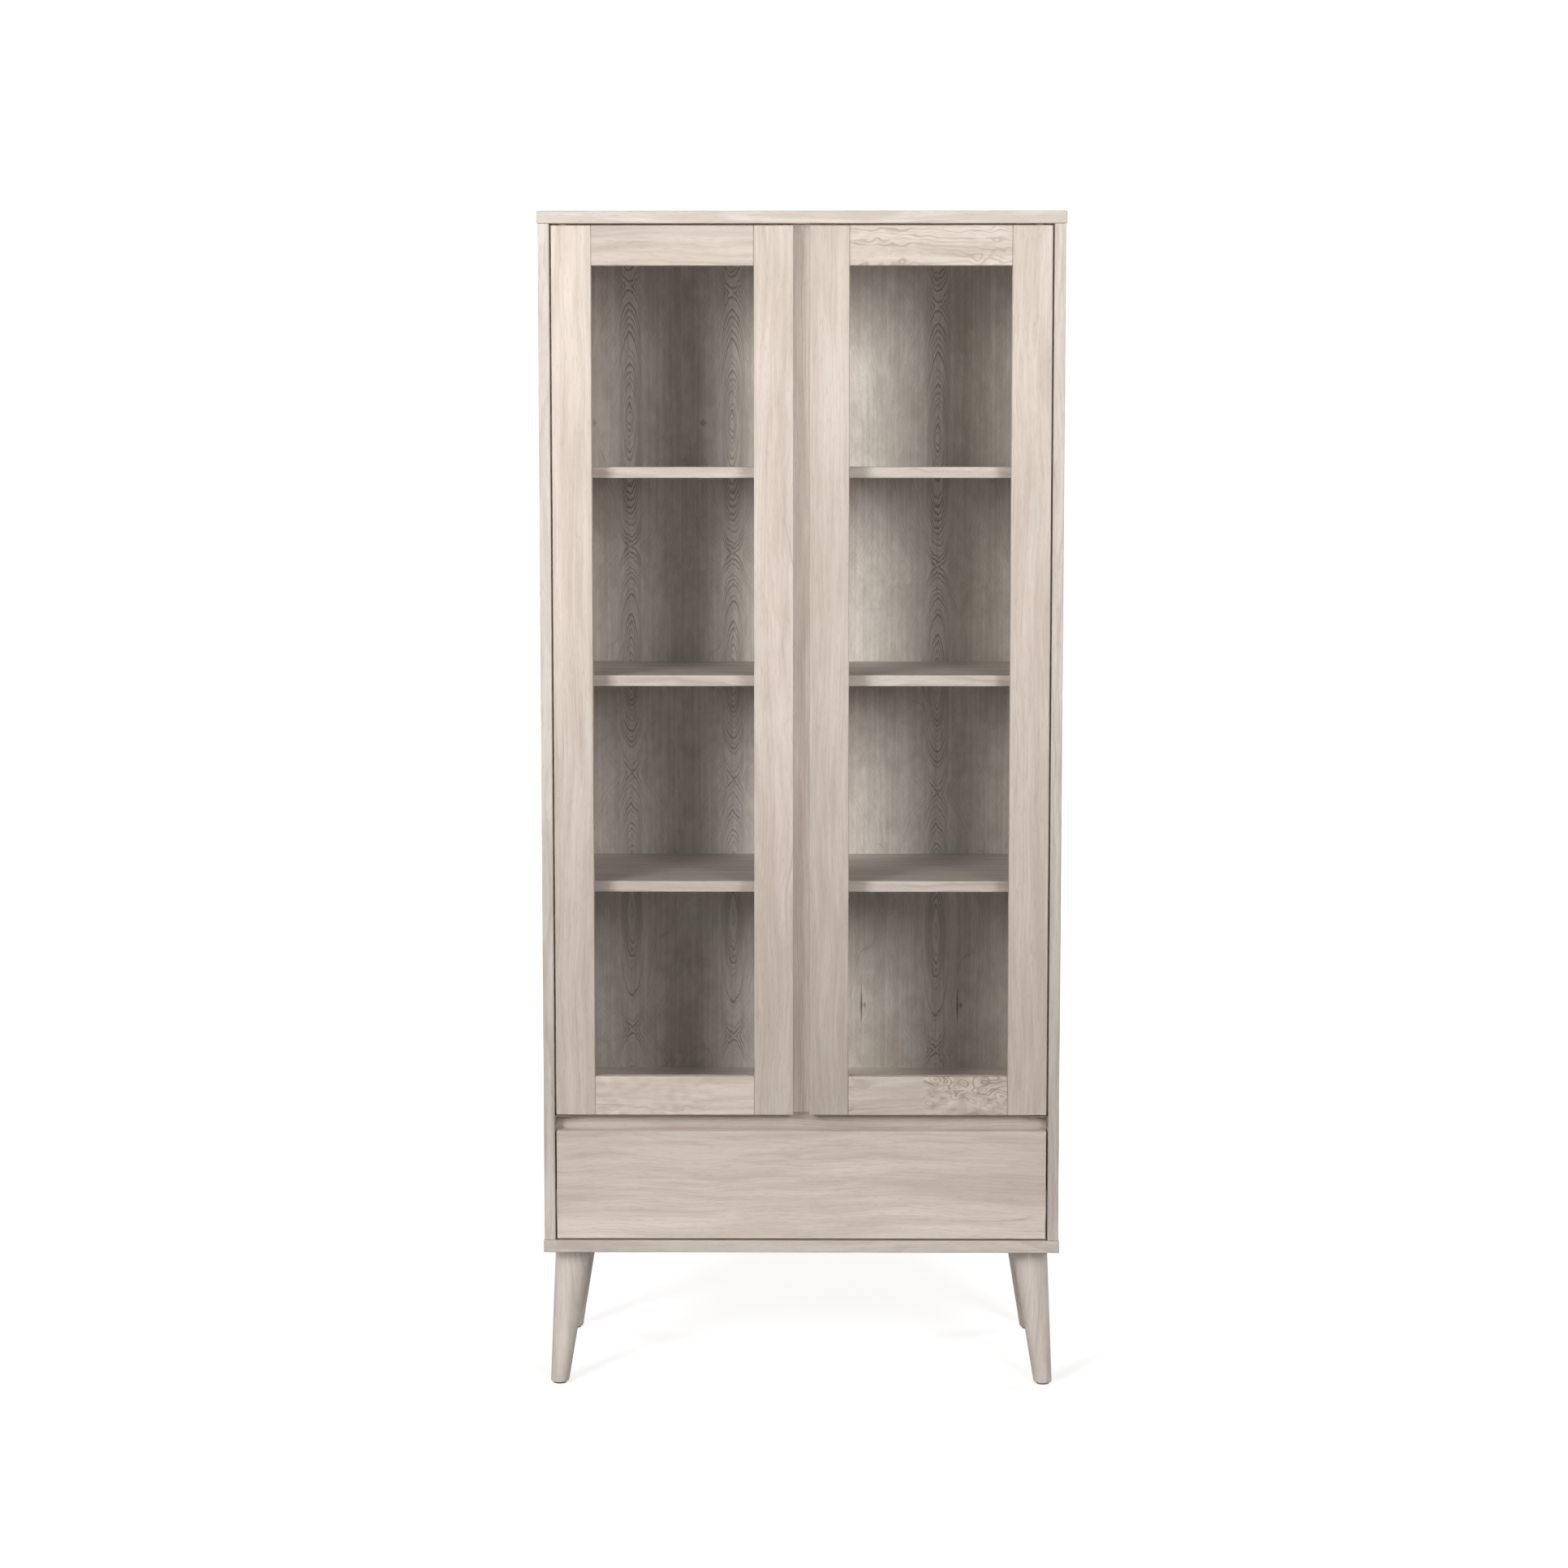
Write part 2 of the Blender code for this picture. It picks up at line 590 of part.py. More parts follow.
# Drawer box behind a flat front, its ends housed in the sides and its bottom in a groove
def build_drawer():
    slide = pivot_empty("drawer_axis", (0.0, FACE, DRAWER_LOW))
    edge = SIDE_INNER - DOOR_REVEAL
    low = (-edge, FACE, DRAWER_LOW)
    high = (edge, FACE + DRAWER_FRONT_THICKNESS, DRAWER_HIGH)
    board("drawer_front", low, high, parent=slide)

    room = Vector((FIT, FIT, FIT))
    box_high = BOX_LOW + DRAWER_BOX_HEIGHT
    sides = []
    for name, side in (("drawer_left_side", -1), ("drawer_right_side", 1)):
        across = sorted((side * BOX_OUTER, side * (BOX_OUTER - DRAWER_WALL)))
        low = (across[0], BOX_FRONT, BOX_LOW)
        sides.append(board(name, low, (across[1], BOX_BACK, box_high), BIRCH, slide))

    ends = []
    end_reach = BOX_OUTER - DRAWER_WALL + DRAWER_HOUSING - FIT
    for name, start in (
        ("drawer_inner_front", BOX_FRONT),
        ("drawer_back", BOX_BACK - DRAWER_WALL),
    ):
        low = Vector((-end_reach, start, BOX_LOW))
        high = Vector((end_reach, start + DRAWER_WALL, box_high))
        ends.append(board(name, low, high, BIRCH, slide))
        reach = room + Vector((0, 0, CUT_BEYOND))
        housing = box_cutter(name + "_housing", low - reach, high + reach)
        for wall in sides:
            boolean(wall, housing)

    groove = DRAWER_GROOVE - FIT
    inside_x = BOX_OUTER - DRAWER_WALL + groove
    bottom_low = BOX_LOW + DRAWER_BOTTOM_LIFT
    low = Vector((-inside_x, BOX_FRONT + DRAWER_WALL - groove, bottom_low))
    high_y = BOX_BACK - DRAWER_WALL + groove
    high = Vector((inside_x, high_y, bottom_low + DRAWER_BOTTOM_THICKNESS))
    board("drawer_bottom", low, high, BIRCH, slide, rounding=0)
    cut = box_cutter("drawer_bottom_groove", low - room, high + room)
    for wall in (*sides, *ends):
        boolean(wall, cut)
    return slide


def channel(web, flange_end, half_height, sheet):
    """A C section: web and flange_end are distances from the case side, open towards flange_end."""
    turn = sheet if flange_end > web else -sheet
    return [
        (web, -half_height),
        (flange_end, -half_height),
        (flange_end, -half_height + sheet),
        (web + turn, -half_height + sheet),
        (web + turn, half_height - sheet),
        (flange_end, half_height - sheet),
        (flange_end, half_height),
        (web, half_height),
    ]


# Telescopic runners: three nested channels on each side
def build_runners(slide):
    sheet = RUNNER_SHEET
    nest = sheet + FIT
    half = RUNNER_HEIGHT / 2
    inner_web = RUNNER_WIDTH - FIT
    sections = {
        "outer": channel(FIT, RUNNER_WIDTH - 3 * nest, half, sheet),
        "middle": channel(FIT + nest, RUNNER_WIDTH - 2 * nest, half - nest, sheet),
        "inner": channel(inner_web, FIT + 3 * nest, half - 2 * nest, sheet),
    }
    end = RUNNER_FRONT + RUNNER_LENGTH
    for label, side in (("left", -1), ("right", 1)):
        middle = pivot_empty(f"{label}_runner_axis", (side * SIDE_INNER, FACE, RUNNER_LEVEL))
        carriers = {"outer": None, "middle": middle, "inner": slide}
        for name, section in sections.items():
            outline = [(-side * across, up) for across, up in section]
            if side > 0:
                outline.reverse()
            extrusion(
                f"{label}_runner_{name}",
                outline,
                RUNNER_FRONT,
                end,
                STEEL,
                carriers[name],
                side * SIDE_INNER,
                RUNNER_LEVEL,
            )


top_board, bottom_board, case_sides, centre_stile = build_case()
build_shelves(case_sides)
build_legs(bottom_board)
build_door("left_door", -1, top_board, centre_stile)
build_door("right_door", 1, top_board, centre_stile)
build_runners(build_drawer())
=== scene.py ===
# %% [markdown]
# # A glazed oak display cabinet
#
# This lesson dresses a cabinet whose solids are already made: two framed glass doors over one
# wide drawer, on four splayed legs. The solids carry the measurements, so the work here is in
# finishes, light and the few forms that need more roundness than a solid has.
# Everything is in metres: +Z is up, the front looks along -Y, and the floor is at zero.

# %% Load the cabinet
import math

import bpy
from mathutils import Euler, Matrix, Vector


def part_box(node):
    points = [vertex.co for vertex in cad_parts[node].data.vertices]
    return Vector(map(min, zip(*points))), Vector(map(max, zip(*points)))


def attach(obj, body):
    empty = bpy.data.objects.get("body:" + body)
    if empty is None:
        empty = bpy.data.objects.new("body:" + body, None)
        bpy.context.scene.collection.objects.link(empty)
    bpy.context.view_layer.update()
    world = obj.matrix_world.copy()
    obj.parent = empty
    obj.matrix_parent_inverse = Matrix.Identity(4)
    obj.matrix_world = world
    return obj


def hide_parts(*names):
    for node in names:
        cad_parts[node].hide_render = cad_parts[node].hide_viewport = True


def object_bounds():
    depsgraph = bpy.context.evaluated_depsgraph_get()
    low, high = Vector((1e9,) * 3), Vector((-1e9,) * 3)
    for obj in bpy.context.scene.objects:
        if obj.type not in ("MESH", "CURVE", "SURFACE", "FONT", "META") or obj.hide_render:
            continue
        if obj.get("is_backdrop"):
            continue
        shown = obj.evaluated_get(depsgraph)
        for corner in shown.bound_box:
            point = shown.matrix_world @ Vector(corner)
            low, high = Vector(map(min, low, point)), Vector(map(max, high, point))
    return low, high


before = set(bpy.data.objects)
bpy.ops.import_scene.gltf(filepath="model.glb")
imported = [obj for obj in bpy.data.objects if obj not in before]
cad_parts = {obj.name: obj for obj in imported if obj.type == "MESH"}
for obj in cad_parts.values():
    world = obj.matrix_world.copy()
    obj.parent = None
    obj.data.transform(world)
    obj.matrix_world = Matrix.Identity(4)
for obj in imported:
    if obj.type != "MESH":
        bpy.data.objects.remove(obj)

# %% [markdown]
# ## The box of the solids
#
# The dressed cabinet may not grow past its solids. The box of the solids is noted first, and it
# is written out beside the box of the dressed cabinet at the very end.

solid_low, solid_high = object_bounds()
print("solids reach from", solid_low[:], "to", solid_high[:])

# %% [markdown]
# ## The photographer's place
#
# A cabinet is photographed from a little above shelf height with a long lens, so that its sides
# stay upright. A small downward tilt and a small lens shift share that work: a large shift alone
# would push the cabinet out of any other view.

# %% Set up the camera
IMAGE_SIDE = 1932
FOCAL_PIXELS = 3656.9
SENSOR_WIDTH = 36.0
LENS_SHIFT = -0.045
EYE = Vector((0.0023, -5.001, 1.530))
LOOK_DOWN = 0.0845
TURN = 0.0064

camera_data = bpy.data.cameras.new("photo_camera")
camera_data.sensor_width = SENSOR_WIDTH
camera_data.lens = FOCAL_PIXELS / IMAGE_SIDE * SENSOR_WIDTH
camera_data.shift_y = LENS_SHIFT
camera = bpy.data.objects.new("photo_camera", camera_data)
camera.location = EYE
camera.rotation_euler = (math.pi / 2 - LOOK_DOWN, 0.0, TURN)
bpy.context.scene.collection.objects.link(camera)
bpy.context.scene.camera = camera
print("lens", round(camera_data.lens, 1), "mm")

# %% [markdown]
# ## Colours and nodes
#
# A hex colour is written for the eye, so it is turned to linear light before a shader gets it.
# One helper adds a node with its settings and its links, and a few short ones build on it, which
# keeps each recipe readable.

# %% Colour and node helpers
def linear(hex_colour):
    """Turns an sRGB hex colour into the linear numbers that a shader reads."""
    channels = []
    for start in (0, 2, 4):
        value = int(hex_colour[start:start + 2], 16) / 255
        channels.append(value / 12.92 if value <= 0.04045 else ((value + 0.055) / 1.055) ** 2.4)
    return (*channels, 1.0)


def add_node(tree, kind, settings=None, inputs=None):
    """Adds one node, with its settings, and with values or links for its inputs."""
    node = tree.nodes.new(kind)
    for name, value in (settings or {}).items():
        setattr(node, name, value)
    for name, value in (inputs or {}).items():
        if isinstance(value, bpy.types.NodeSocket):
            tree.links.new(value, node.inputs[name])
        else:
            node.inputs[name].default_value = value
    return node


def new_material(name):
    """Makes an empty material and returns it with its tree and its output node."""
    material = bpy.data.materials.new(name)
    material.use_nodes = True
    material.node_tree.nodes.clear()
    output = add_node(material.node_tree, "ShaderNodeOutputMaterial")
    return material, material.node_tree, output


def object_place(tree):
    """Gives a point's place on its piece in metres, which stays the same when the piece moves."""
    return add_node(tree, "ShaderNodeTexCoord").outputs["Object"]


def number(tree, operation, *values):
    """Adds one sum of plain numbers and returns its result."""
    settings = {"operation": operation}
    return add_node(tree, "ShaderNodeMath", settings, dict(enumerate(values))).outputs["Value"]


def ramp(tree, value, low, high, to_low=0.0, to_high=1.0, smooth=True):
    """Maps a number between two limits onto two others."""
    kind = "SMOOTHSTEP" if smooth else "LINEAR"
    return add_node(
        tree, "ShaderNodeMapRange", {"interpolation_type": kind},
        {"Value": value, "From Min": low, "From Max": high, "To Min": to_low, "To Max": to_high},
    ).outputs["Result"]


def mixed(tree, share, first, second, kind="MIX"):
    """Mixes two colours and returns the result."""
    settings = {"data_type": "RGBA", "blend_type": kind}
    return add_node(tree, "ShaderNodeMix", settings, {0: share, 6: first, 7: second}).outputs[2]


def seen_directly(tree, rays):
    """Gives 1 where the camera sees a surface, straight or through glass or in a mirror."""
    seen = number(tree, "MAXIMUM", rays.outputs["Is Camera Ray"], rays.outputs["Is Glossy Ray"])
    return number(tree, "MAXIMUM", seen, rays.outputs["Is Transmission Ray"])


print("white as linear light:", linear("FFFFFF")[:3])

# %% [markdown]
# ## A pale studio
#
# The floor of a studio is a roll of paper that is burnt out to white. The paper here is diffuse,
# so that it keeps a soft shadow, with some light of its own that only the camera sees.
# Far from the cabinet that light takes over, and the paper meets the white backdrop unseen.
# The paper throws less light back up than its own white would, since the lowest bays of the
# photographed cabinet are its darkest: a studio's dark floor begins not far from the legs.
# The air around gives a very little light from all sides, and is plain white to the camera.

# %% Lay the floor
PAPER_SIDE = 30.0
PAPER_SINK = 0.0004
GLOW_NEAR, GLOW_FAR = 0.4, 2.6
GLOW_UNDER_LEGS = 0.62
AIR_LIGHT = 0.070
PAPER_SEEN = linear("F6F5F4")
PAPER_LIGHTING = linear("989796")

floor_mesh = bpy.data.meshes.new("studio_paper")
half = PAPER_SIDE / 2
floor_mesh.from_pydata(
    [(-half, -half, 0), (half, -half, 0), (half, half, 0), (-half, half, 0)], [], [(0, 1, 2, 3)]
)
floor = bpy.data.objects.new("studio_paper", floor_mesh)
floor.location.z = -PAPER_SINK
bpy.context.scene.collection.objects.link(floor)
floor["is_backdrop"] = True

paper, tree, output = new_material("white_paper_roll")
distance = add_node(
    tree, "ShaderNodeVectorMath", {"operation": "LENGTH"}, {0: object_place(tree)}
)
far = ramp(tree, distance.outputs["Value"], GLOW_NEAR, GLOW_FAR, GLOW_UNDER_LEGS, 1.0)
rays = add_node(tree, "ShaderNodeLightPath")
seen = seen_directly(tree, rays)
paper_colour = mixed(tree, rays.outputs["Is Diffuse Ray"], PAPER_SEEN, PAPER_LIGHTING)
matt = add_node(tree, "ShaderNodeBsdfDiffuse", {}, {"Color": paper_colour})
glow = add_node(
    tree, "ShaderNodeEmission", {},
    {"Color": linear("FFFFFF"), "Strength": number(tree, "MULTIPLY", far, seen)},
)
both = add_node(
    tree, "ShaderNodeAddShader", {}, {0: matt.outputs["BSDF"], 1: glow.outputs["Emission"]}
)
tree.links.new(both.outputs["Shader"], output.inputs["Surface"])
floor_mesh.materials.append(paper)

world = bpy.data.worlds.new("studio_air")
world.use_nodes = True
world.node_tree.nodes.clear()
seen = seen_directly(world.node_tree, add_node(world.node_tree, "ShaderNodeLightPath"))
level = ramp(world.node_tree, seen, 0.0, 1.0, AIR_LIGHT, 1.0, smooth=False)
air = add_node(
    world.node_tree, "ShaderNodeBackground", {}, {"Color": linear("FFFFFF"), "Strength": level}
)
add_node(world.node_tree, "ShaderNodeOutputWorld", {}, {"Surface": air.outputs["Background"]})
bpy.context.scene.world = world
bpy.context.scene.view_settings.view_transform = "Standard"
print("paper", PAPER_SIDE, "m square")

# %% [markdown]
# ## Soft boxes
#
# Behind the glass, light and dark upright bands lie on the back panel. They are the shapes of
# the two openings, thrown by one lamp from each side. The bands tell where the lamps stood:
# about 36 degrees to the left and 28 degrees to the right, each a soft box about a metre wide,
# 3 m in front of the doors. The shadow under each shelf is longer than the one above it, so the
# boxes hang high, from 1.5 to 3 m. They are aimed at the top of the case, so the lower boards
# get less light, and a low strip gives some of it back to the legs.
#
# Three weaker boxes stand beside and behind the cabinet. They reach none of its front, and show
# the grain of the sides and the back to whoever walks round it.

# %% Hang the lamps
def soft_box(name, place, target, size, watts, hex_colour, spread=104):
    """Adds one upright soft box, so wide and so tall, that faces a point of the cabinet."""
    data = bpy.data.lights.new(name, "AREA")
    data.shape = "RECTANGLE"
    data.size, data.size_y = size
    data.energy = watts
    data.color = linear(hex_colour)[:3]
    data.spread = math.radians(spread)
    lamp = bpy.data.objects.new(name, data)
    lamp.visible_camera = False
    lamp.location = place
    lamp.rotation_euler = (Vector(target) - Vector(place)).to_track_quat("-Z", "Y").to_euler()
    bpy.context.scene.collection.objects.link(lamp)
    return lamp


LAMP_DISTANCE = 3.0
LAMP_HEIGHT = 2.25
LAMP_TALL = 1.50
CASE_TOP = (0.0, 0.0, 2.02)
CASE_MIDDLE = (0.0, 0.15, 1.0)
for name, bearing, width, watts, colour in (
    ("left_soft_box", -36.0, 1.15, 33.3, "FFFEFC"), ("right_soft_box", 28.0, 1.00, 18.8, "FFFEFD"),
):
    aside = LAMP_DISTANCE * math.tan(math.radians(bearing))
    spot = (aside, solid_low[1] - LAMP_DISTANCE, LAMP_HEIGHT)
    soft_box(name, spot, CASE_TOP, (width, LAMP_TALL), watts, colour)
low_strip = soft_box(
    "low_reflector", (0.0, -2.60, 0.10), (0.0, 0.0, 0.10), (1.60, 0.20), 0.50, "FFFFFF", spread=16
)
low_strip.visible_glossy = False
for name, spot in (
    ("left_side_box", (-3.0, 1.1, 1.7)), ("right_side_box", (3.0, 1.1, 1.7)),
    ("rear_box", (0.0, 3.4, 1.8)),
):
    soft_box(name, spot, CASE_MIDDLE, (1.20, 1.40), 15.0, "FFFFFF", spread=150)

# %% [markdown]
# ## How an oak board gets its figure
#
# A tree grows in rings round its heart. A board is a flat slice, so what shows on its face is
# how the slice meets the rings: straight lines where it meets them steeply, arches where it
# runs along them. The group below bends every point sideways as a real trunk wanders, measures
# how far it then is from the heart line, and turns that into rings. Soft streaks, short pores
# and a few thin mineral lines follow the same bends. Here and there the fibres curl round small
# buds: there the rings are bent in tight loops, and spots are painted lighter and darker, a
# painted sheen for the light that fibres tilting up would catch.
# The grain runs along the group's X.
# Real rings are 2 to 6 mm apart; pores are 0.3 mm wide, drawn here near 1 mm so that they
# still show when the whole cabinet is in view.

# %% Build the oak group
OAK_LIGHT = linear("EAE0D7")
OAK_MIDDLE = linear("D6CABF")
OAK_LATE = linear("B1A395")
OAK_PORE = linear("A09182")
OAK_MINERAL = linear("8A7868")
OAK_KNOT = linear("5A4A3D")
# How many cells of each noise fit in a metre, along the grain and across it.
TRUNK_CELLS = (2.6, 2.0, 2.0)
RIPPLE_CELLS = (14.0, 40.0, 40.0)
BUD_CELLS = (56.0, 95.0, 95.0)
BUD_PLACE_CELLS = (6.0, 0.0, 0.0)
FINE_CELLS = (4.5, 125.0, 125.0)
BROAD_CELLS = (3.0, 34.0, 34.0)
PATCH_CELLS = (1.8, 7.0, 7.0)
PORE_CELLS = (48.0, 520.0, 520.0)
VEIN_CELLS = (0.7, 17.0, 17.0)
VEIN_PLACE_CELLS = (5.0, 11.0, 11.0)
YEAR_CELLS = 6.0
# How far each bend may carry a point, in metres: never along the grain.
STREAK_BEND = (0.0, 0.040, 0.040)
RIPPLE_BEND = (0.0, 0.006, 0.006)
BUD_BEND = (0.0, 0.028, 0.028)
# How much each mark shows.
FINE_SHARE, BROAD_SHARE = 0.42, 0.58
PORE_SHARE = 0.18
VEIN_SHARE = 0.36
VEIN_HALF_WIDTH = 0.010
PAINTED_SHEEN_SHARE = 0.55
PATCH_DARK, PATCH_LIGHT = 0.94, 1.04
ROUGH_PALE, ROUGH_STREAK, ROUGH_PORE = 0.52, 0.60, 0.18
LATE_SUNK = 0.4
# Where in a year's ring the late wood starts, is full and begins to stop, from 0 to 1.
LATE_START, LATE_FULL, LATE_STOP = 0.30, 0.88, 0.90
NOISE_MIDDLE = (0.5, 0.5, 0.5)

oak = bpy.data.node_groups.new("whitewashed_oak_figure", "ShaderNodeTree")
sockets = oak.interface
sockets.new_socket("Place", in_out="INPUT", socket_type="NodeSocketVector")
sockets.new_socket("Tint", in_out="INPUT", socket_type="NodeSocketColor")
for name, value in (
    ("Ring spacing", 0.005), ("Wander", 0.03), ("Waves", 1.0), ("Curl", 0.0), ("Figure", 0.5),
):
    socket = sockets.new_socket(name, in_out="INPUT", socket_type="NodeSocketFloat")
    socket.default_value = value
sockets.new_socket("Color", in_out="OUTPUT", socket_type="NodeSocketColor")
for name in ("Roughness", "Height", "Late wood"):
    sockets.new_socket(name, in_out="OUTPUT", socket_type="NodeSocketFloat")
given = add_node(oak, "NodeGroupInput")
result = add_node(oak, "NodeGroupOutput")


def vector_math(tree, operation, first, second):
    """Adds one vector sum and returns its result."""
    node = add_node(tree, "ShaderNodeVectorMath", {"operation": operation}, {0: first, 1: second})
    return node.outputs["Vector"]


def scaled(tree, vector, by):
    """Makes a vector longer or shorter by a number."""
    settings = {"operation": "SCALE"}
    node = add_node(tree, "ShaderNodeVectorMath", settings, {0: vector, "Scale": by})
    return node.outputs["Vector"]


def grain_noise(tree, place, cells, detail=1.0, roughness=0.5):
    """Adds noise with so many cells to the metre in each direction."""
    return add_node(
        tree, "ShaderNodeTexNoise", {"noise_dimensions": "3D"},
        {
            "Vector": vector_math(tree, "MULTIPLY", place, cells), "Scale": 1.0, "Detail": detail,
            "Roughness": roughness,
        },
    )


def shaded(tree, colour, shade):
    """Makes a colour lighter or darker by a number."""
    grey = add_node(tree, "ShaderNodeCombineXYZ", {}, {"X": shade, "Y": shade, "Z": shade})
    return vector_math(tree, "MULTIPLY", colour, grey.outputs["Vector"])


place = given.outputs["Place"]
bend = grain_noise(oak, place, TRUNK_CELLS).outputs["Color"]
bend = vector_math(oak, "SUBTRACT", bend, NOISE_MIDDLE)
reach = add_node(
    oak, "ShaderNodeCombineXYZ", {}, {"Y": given.outputs["Wander"], "Z": given.outputs["Wander"]}
)
wander = vector_math(oak, "MULTIPLY", bend, reach.outputs["Vector"])
ripple = grain_noise(oak, place, RIPPLE_CELLS, 2.0).outputs["Color"]
ripple = vector_math(oak, "SUBTRACT", ripple, NOISE_MIDDLE)
ripple = vector_math(oak, "MULTIPLY", ripple, RIPPLE_BEND)
bent = vector_math(oak, "ADD", place, wander)
bent = vector_math(oak, "ADD", bent, scaled(oak, ripple, given.outputs["Waves"]))
print("bends that follow the trunk:", len(oak.nodes), "nodes")

# %% [markdown]
# Curls come in places: a slow noise along the board says where. Outside them the rings of a
# curly board are quieter, so that the curls stand out.

# %% Curl the fibres round buds
buds = grain_noise(oak, place, BUD_CELLS, 0.0)
bud_place = ramp(oak, grain_noise(oak, place, BUD_PLACE_CELLS, 0.0).outputs[0], 0.36, 0.50)
curly = number(oak, "MULTIPLY", bud_place, given.outputs["Curl"])
plain = number(oak, "MULTIPLY", number(oak, "SUBTRACT", 1.0, bud_place), given.outputs["Curl"])
# Painted sheen: inside the curls the colour is made lighter and darker in spots, for the light that
# tilted fibres catch.
painted_sheen = number(oak, "MULTIPLY", number(oak, "SUBTRACT", buds.outputs[0], 0.5), curly)
curl = vector_math(oak, "SUBTRACT", buds.outputs["Color"], NOISE_MIDDLE)
curl = vector_math(oak, "MULTIPLY", curl, BUD_BEND)
bent = vector_math(oak, "ADD", bent, scaled(oak, curl, curly))
print("with the curls:", len(oak.nodes), "nodes")

# %% [markdown]
# A year's ring is pale early wood, which passes slowly into darker late wood and then stops
# short. Good years show more late wood than poor ones, and they differ a little along the trunk.

# %% Count the rings
flat = vector_math(oak, "MULTIPLY", bent, (0.0, 1.0, 1.0))
from_heart = add_node(oak, "ShaderNodeVectorMath", {"operation": "LENGTH"}, {0: flat})
rings = number(oak, "DIVIDE", from_heart.outputs["Value"], given.outputs["Ring spacing"])
growth = number(oak, "FRACT", rings)
late = ramp(oak, growth, LATE_START, LATE_FULL)
late = number(oak, "MULTIPLY", late, ramp(oak, growth, 1.0, LATE_STOP))
along = add_node(oak, "ShaderNodeSeparateXYZ", {}, {"Vector": place}).outputs["X"]
along = number(oak, "MULTIPLY", along, YEAR_CELLS)
year = add_node(oak, "ShaderNodeCombineXYZ", {}, {"X": along, "Y": rings})
good_year = add_node(
    oak, "ShaderNodeTexNoise", {"noise_dimensions": "2D"},
    {"Vector": year.outputs["Vector"], "Scale": 0.5, "Detail": 2.0, "Roughness": 0.6},
).outputs[0]
late = number(oak, "MULTIPLY", late, ramp(oak, good_year, 0.35, 0.65))
late = number(oak, "MULTIPLY", late, given.outputs["Figure"])
late = number(oak, "MULTIPLY", late, ramp(oak, plain, 0.0, 1.0, 1.0, 0.4))
print("with the rings:", len(oak.nodes), "nodes")

# %% [markdown]
# The streaks, pores and veins run along the fibres. They take a gentler bend than the rings,
# because a sharp one would smear them.

# %% Add streaks, pores and veins, and mix the colour
eased = vector_math(oak, "MULTIPLY", bend, STREAK_BEND)
eased = vector_math(oak, "ADD", vector_math(oak, "ADD", place, eased), ripple)
fine = grain_noise(oak, eased, FINE_CELLS, 2.0, 0.55).outputs[0]
fine = number(oak, "MULTIPLY", fine, FINE_SHARE)
broad = grain_noise(oak, eased, BROAD_CELLS, 3.0, 0.55).outputs[0]
broad = number(oak, "MULTIPLY", broad, BROAD_SHARE)
streak = ramp(oak, number(oak, "ADD", fine, broad), 0.36, 0.66)
patch = grain_noise(oak, place, PATCH_CELLS, 2.0).outputs[0]
pore = ramp(oak, grain_noise(oak, eased, PORE_CELLS, 1.0).outputs[0], 0.54, 0.70)
pore = number(oak, "MULTIPLY", pore, ramp(oak, growth, 0.9, 0.1, 0.45, 1.0))
vein = number(oak, "SUBTRACT", grain_noise(oak, eased, VEIN_CELLS).outputs[0], 0.5)
vein = ramp(oak, number(oak, "ABSOLUTE", vein), 0.0, VEIN_HALF_WIDTH, 1.0, 0.0)
vein_place = ramp(oak, grain_noise(oak, place, VEIN_PLACE_CELLS).outputs[0], 0.55, 0.68)
vein = number(oak, "MULTIPLY", vein, vein_place)

colour = mixed(oak, streak, OAK_LIGHT, OAK_MIDDLE)
colour = mixed(oak, late, colour, OAK_LATE)
colour = mixed(oak, number(oak, "MULTIPLY", pore, PORE_SHARE), colour, OAK_PORE)
colour = mixed(oak, number(oak, "MULTIPLY", vein, VEIN_SHARE), colour, OAK_MINERAL)
shade = ramp(oak, patch, 0.3, 0.7, PATCH_DARK, PATCH_LIGHT)
# The painted sheen of the curls is added to the colour's shade here.
shade = number(oak, "ADD", shade, number(oak, "MULTIPLY", painted_sheen, PAINTED_SHEEN_SHARE))
colour = mixed(oak, 1.0, shaded(oak, colour, shade), given.outputs["Tint"], "MULTIPLY")
rough = ramp(oak, streak, 0.0, 1.0, ROUGH_PALE, ROUGH_STREAK)
rough = number(oak, "ADD", rough, number(oak, "MULTIPLY", pore, ROUGH_PORE))
height = number(oak, "MULTIPLY", pore, -1.0)
height = number(oak, "ADD", height, number(oak, "MULTIPLY", late, -LATE_SUNK))
for name, value in (
    ("Color", colour), ("Roughness", rough), ("Height", height), ("Late wood", late),
):
    oak.links.new(value, result.inputs[name])
print("oak group:", len(oak.nodes), "nodes")

# %% [markdown]
# ## One finish, many boards
#
# Every board comes from its own place in its own tree. So each gets its own material, which
# turns the board's long direction onto the group's X, and says where the heart of the tree lay:
# close behind the face for arches, far to one side for straight lines. The whitewash is a matt
# lacquer with a little pigment: it pales the oak, leaves the pores open, and hardly shines.

# %% A function that finishes one oak board
LIT_EDGE_DEPTH = 0.0015
EDGE_JOINT = 0.0002
PORE_DEPTH = 0.0003
LACQUER_INDEX = 1.5
GRAIN_TURN = {
    "x": Euler((0.0, 0.0, 0.0)),
    "y": Euler((0.0, 0.0, -math.pi / 2)),
    "z": Euler((0.0, math.pi / 2, 0.0)),
}


def turned_to_grain(tree, place, grain, shift):
    """Turns a board's long direction onto X, and moves the board to its place in the tree."""
    turn = GRAIN_TURN[grain]
    values = {"Vector": place, "Rotation": turn[:], "Location": shift}
    return add_node(tree, "ShaderNodeMapping", {}, values).outputs["Vector"]


def bumped(tree, height, strength, depth):
    """Turns a height into a bent normal, and returns it."""
    values = {"Height": height, "Strength": strength, "Distance": depth}
    return add_node(tree, "ShaderNodeBump", {}, values).outputs["Normal"]


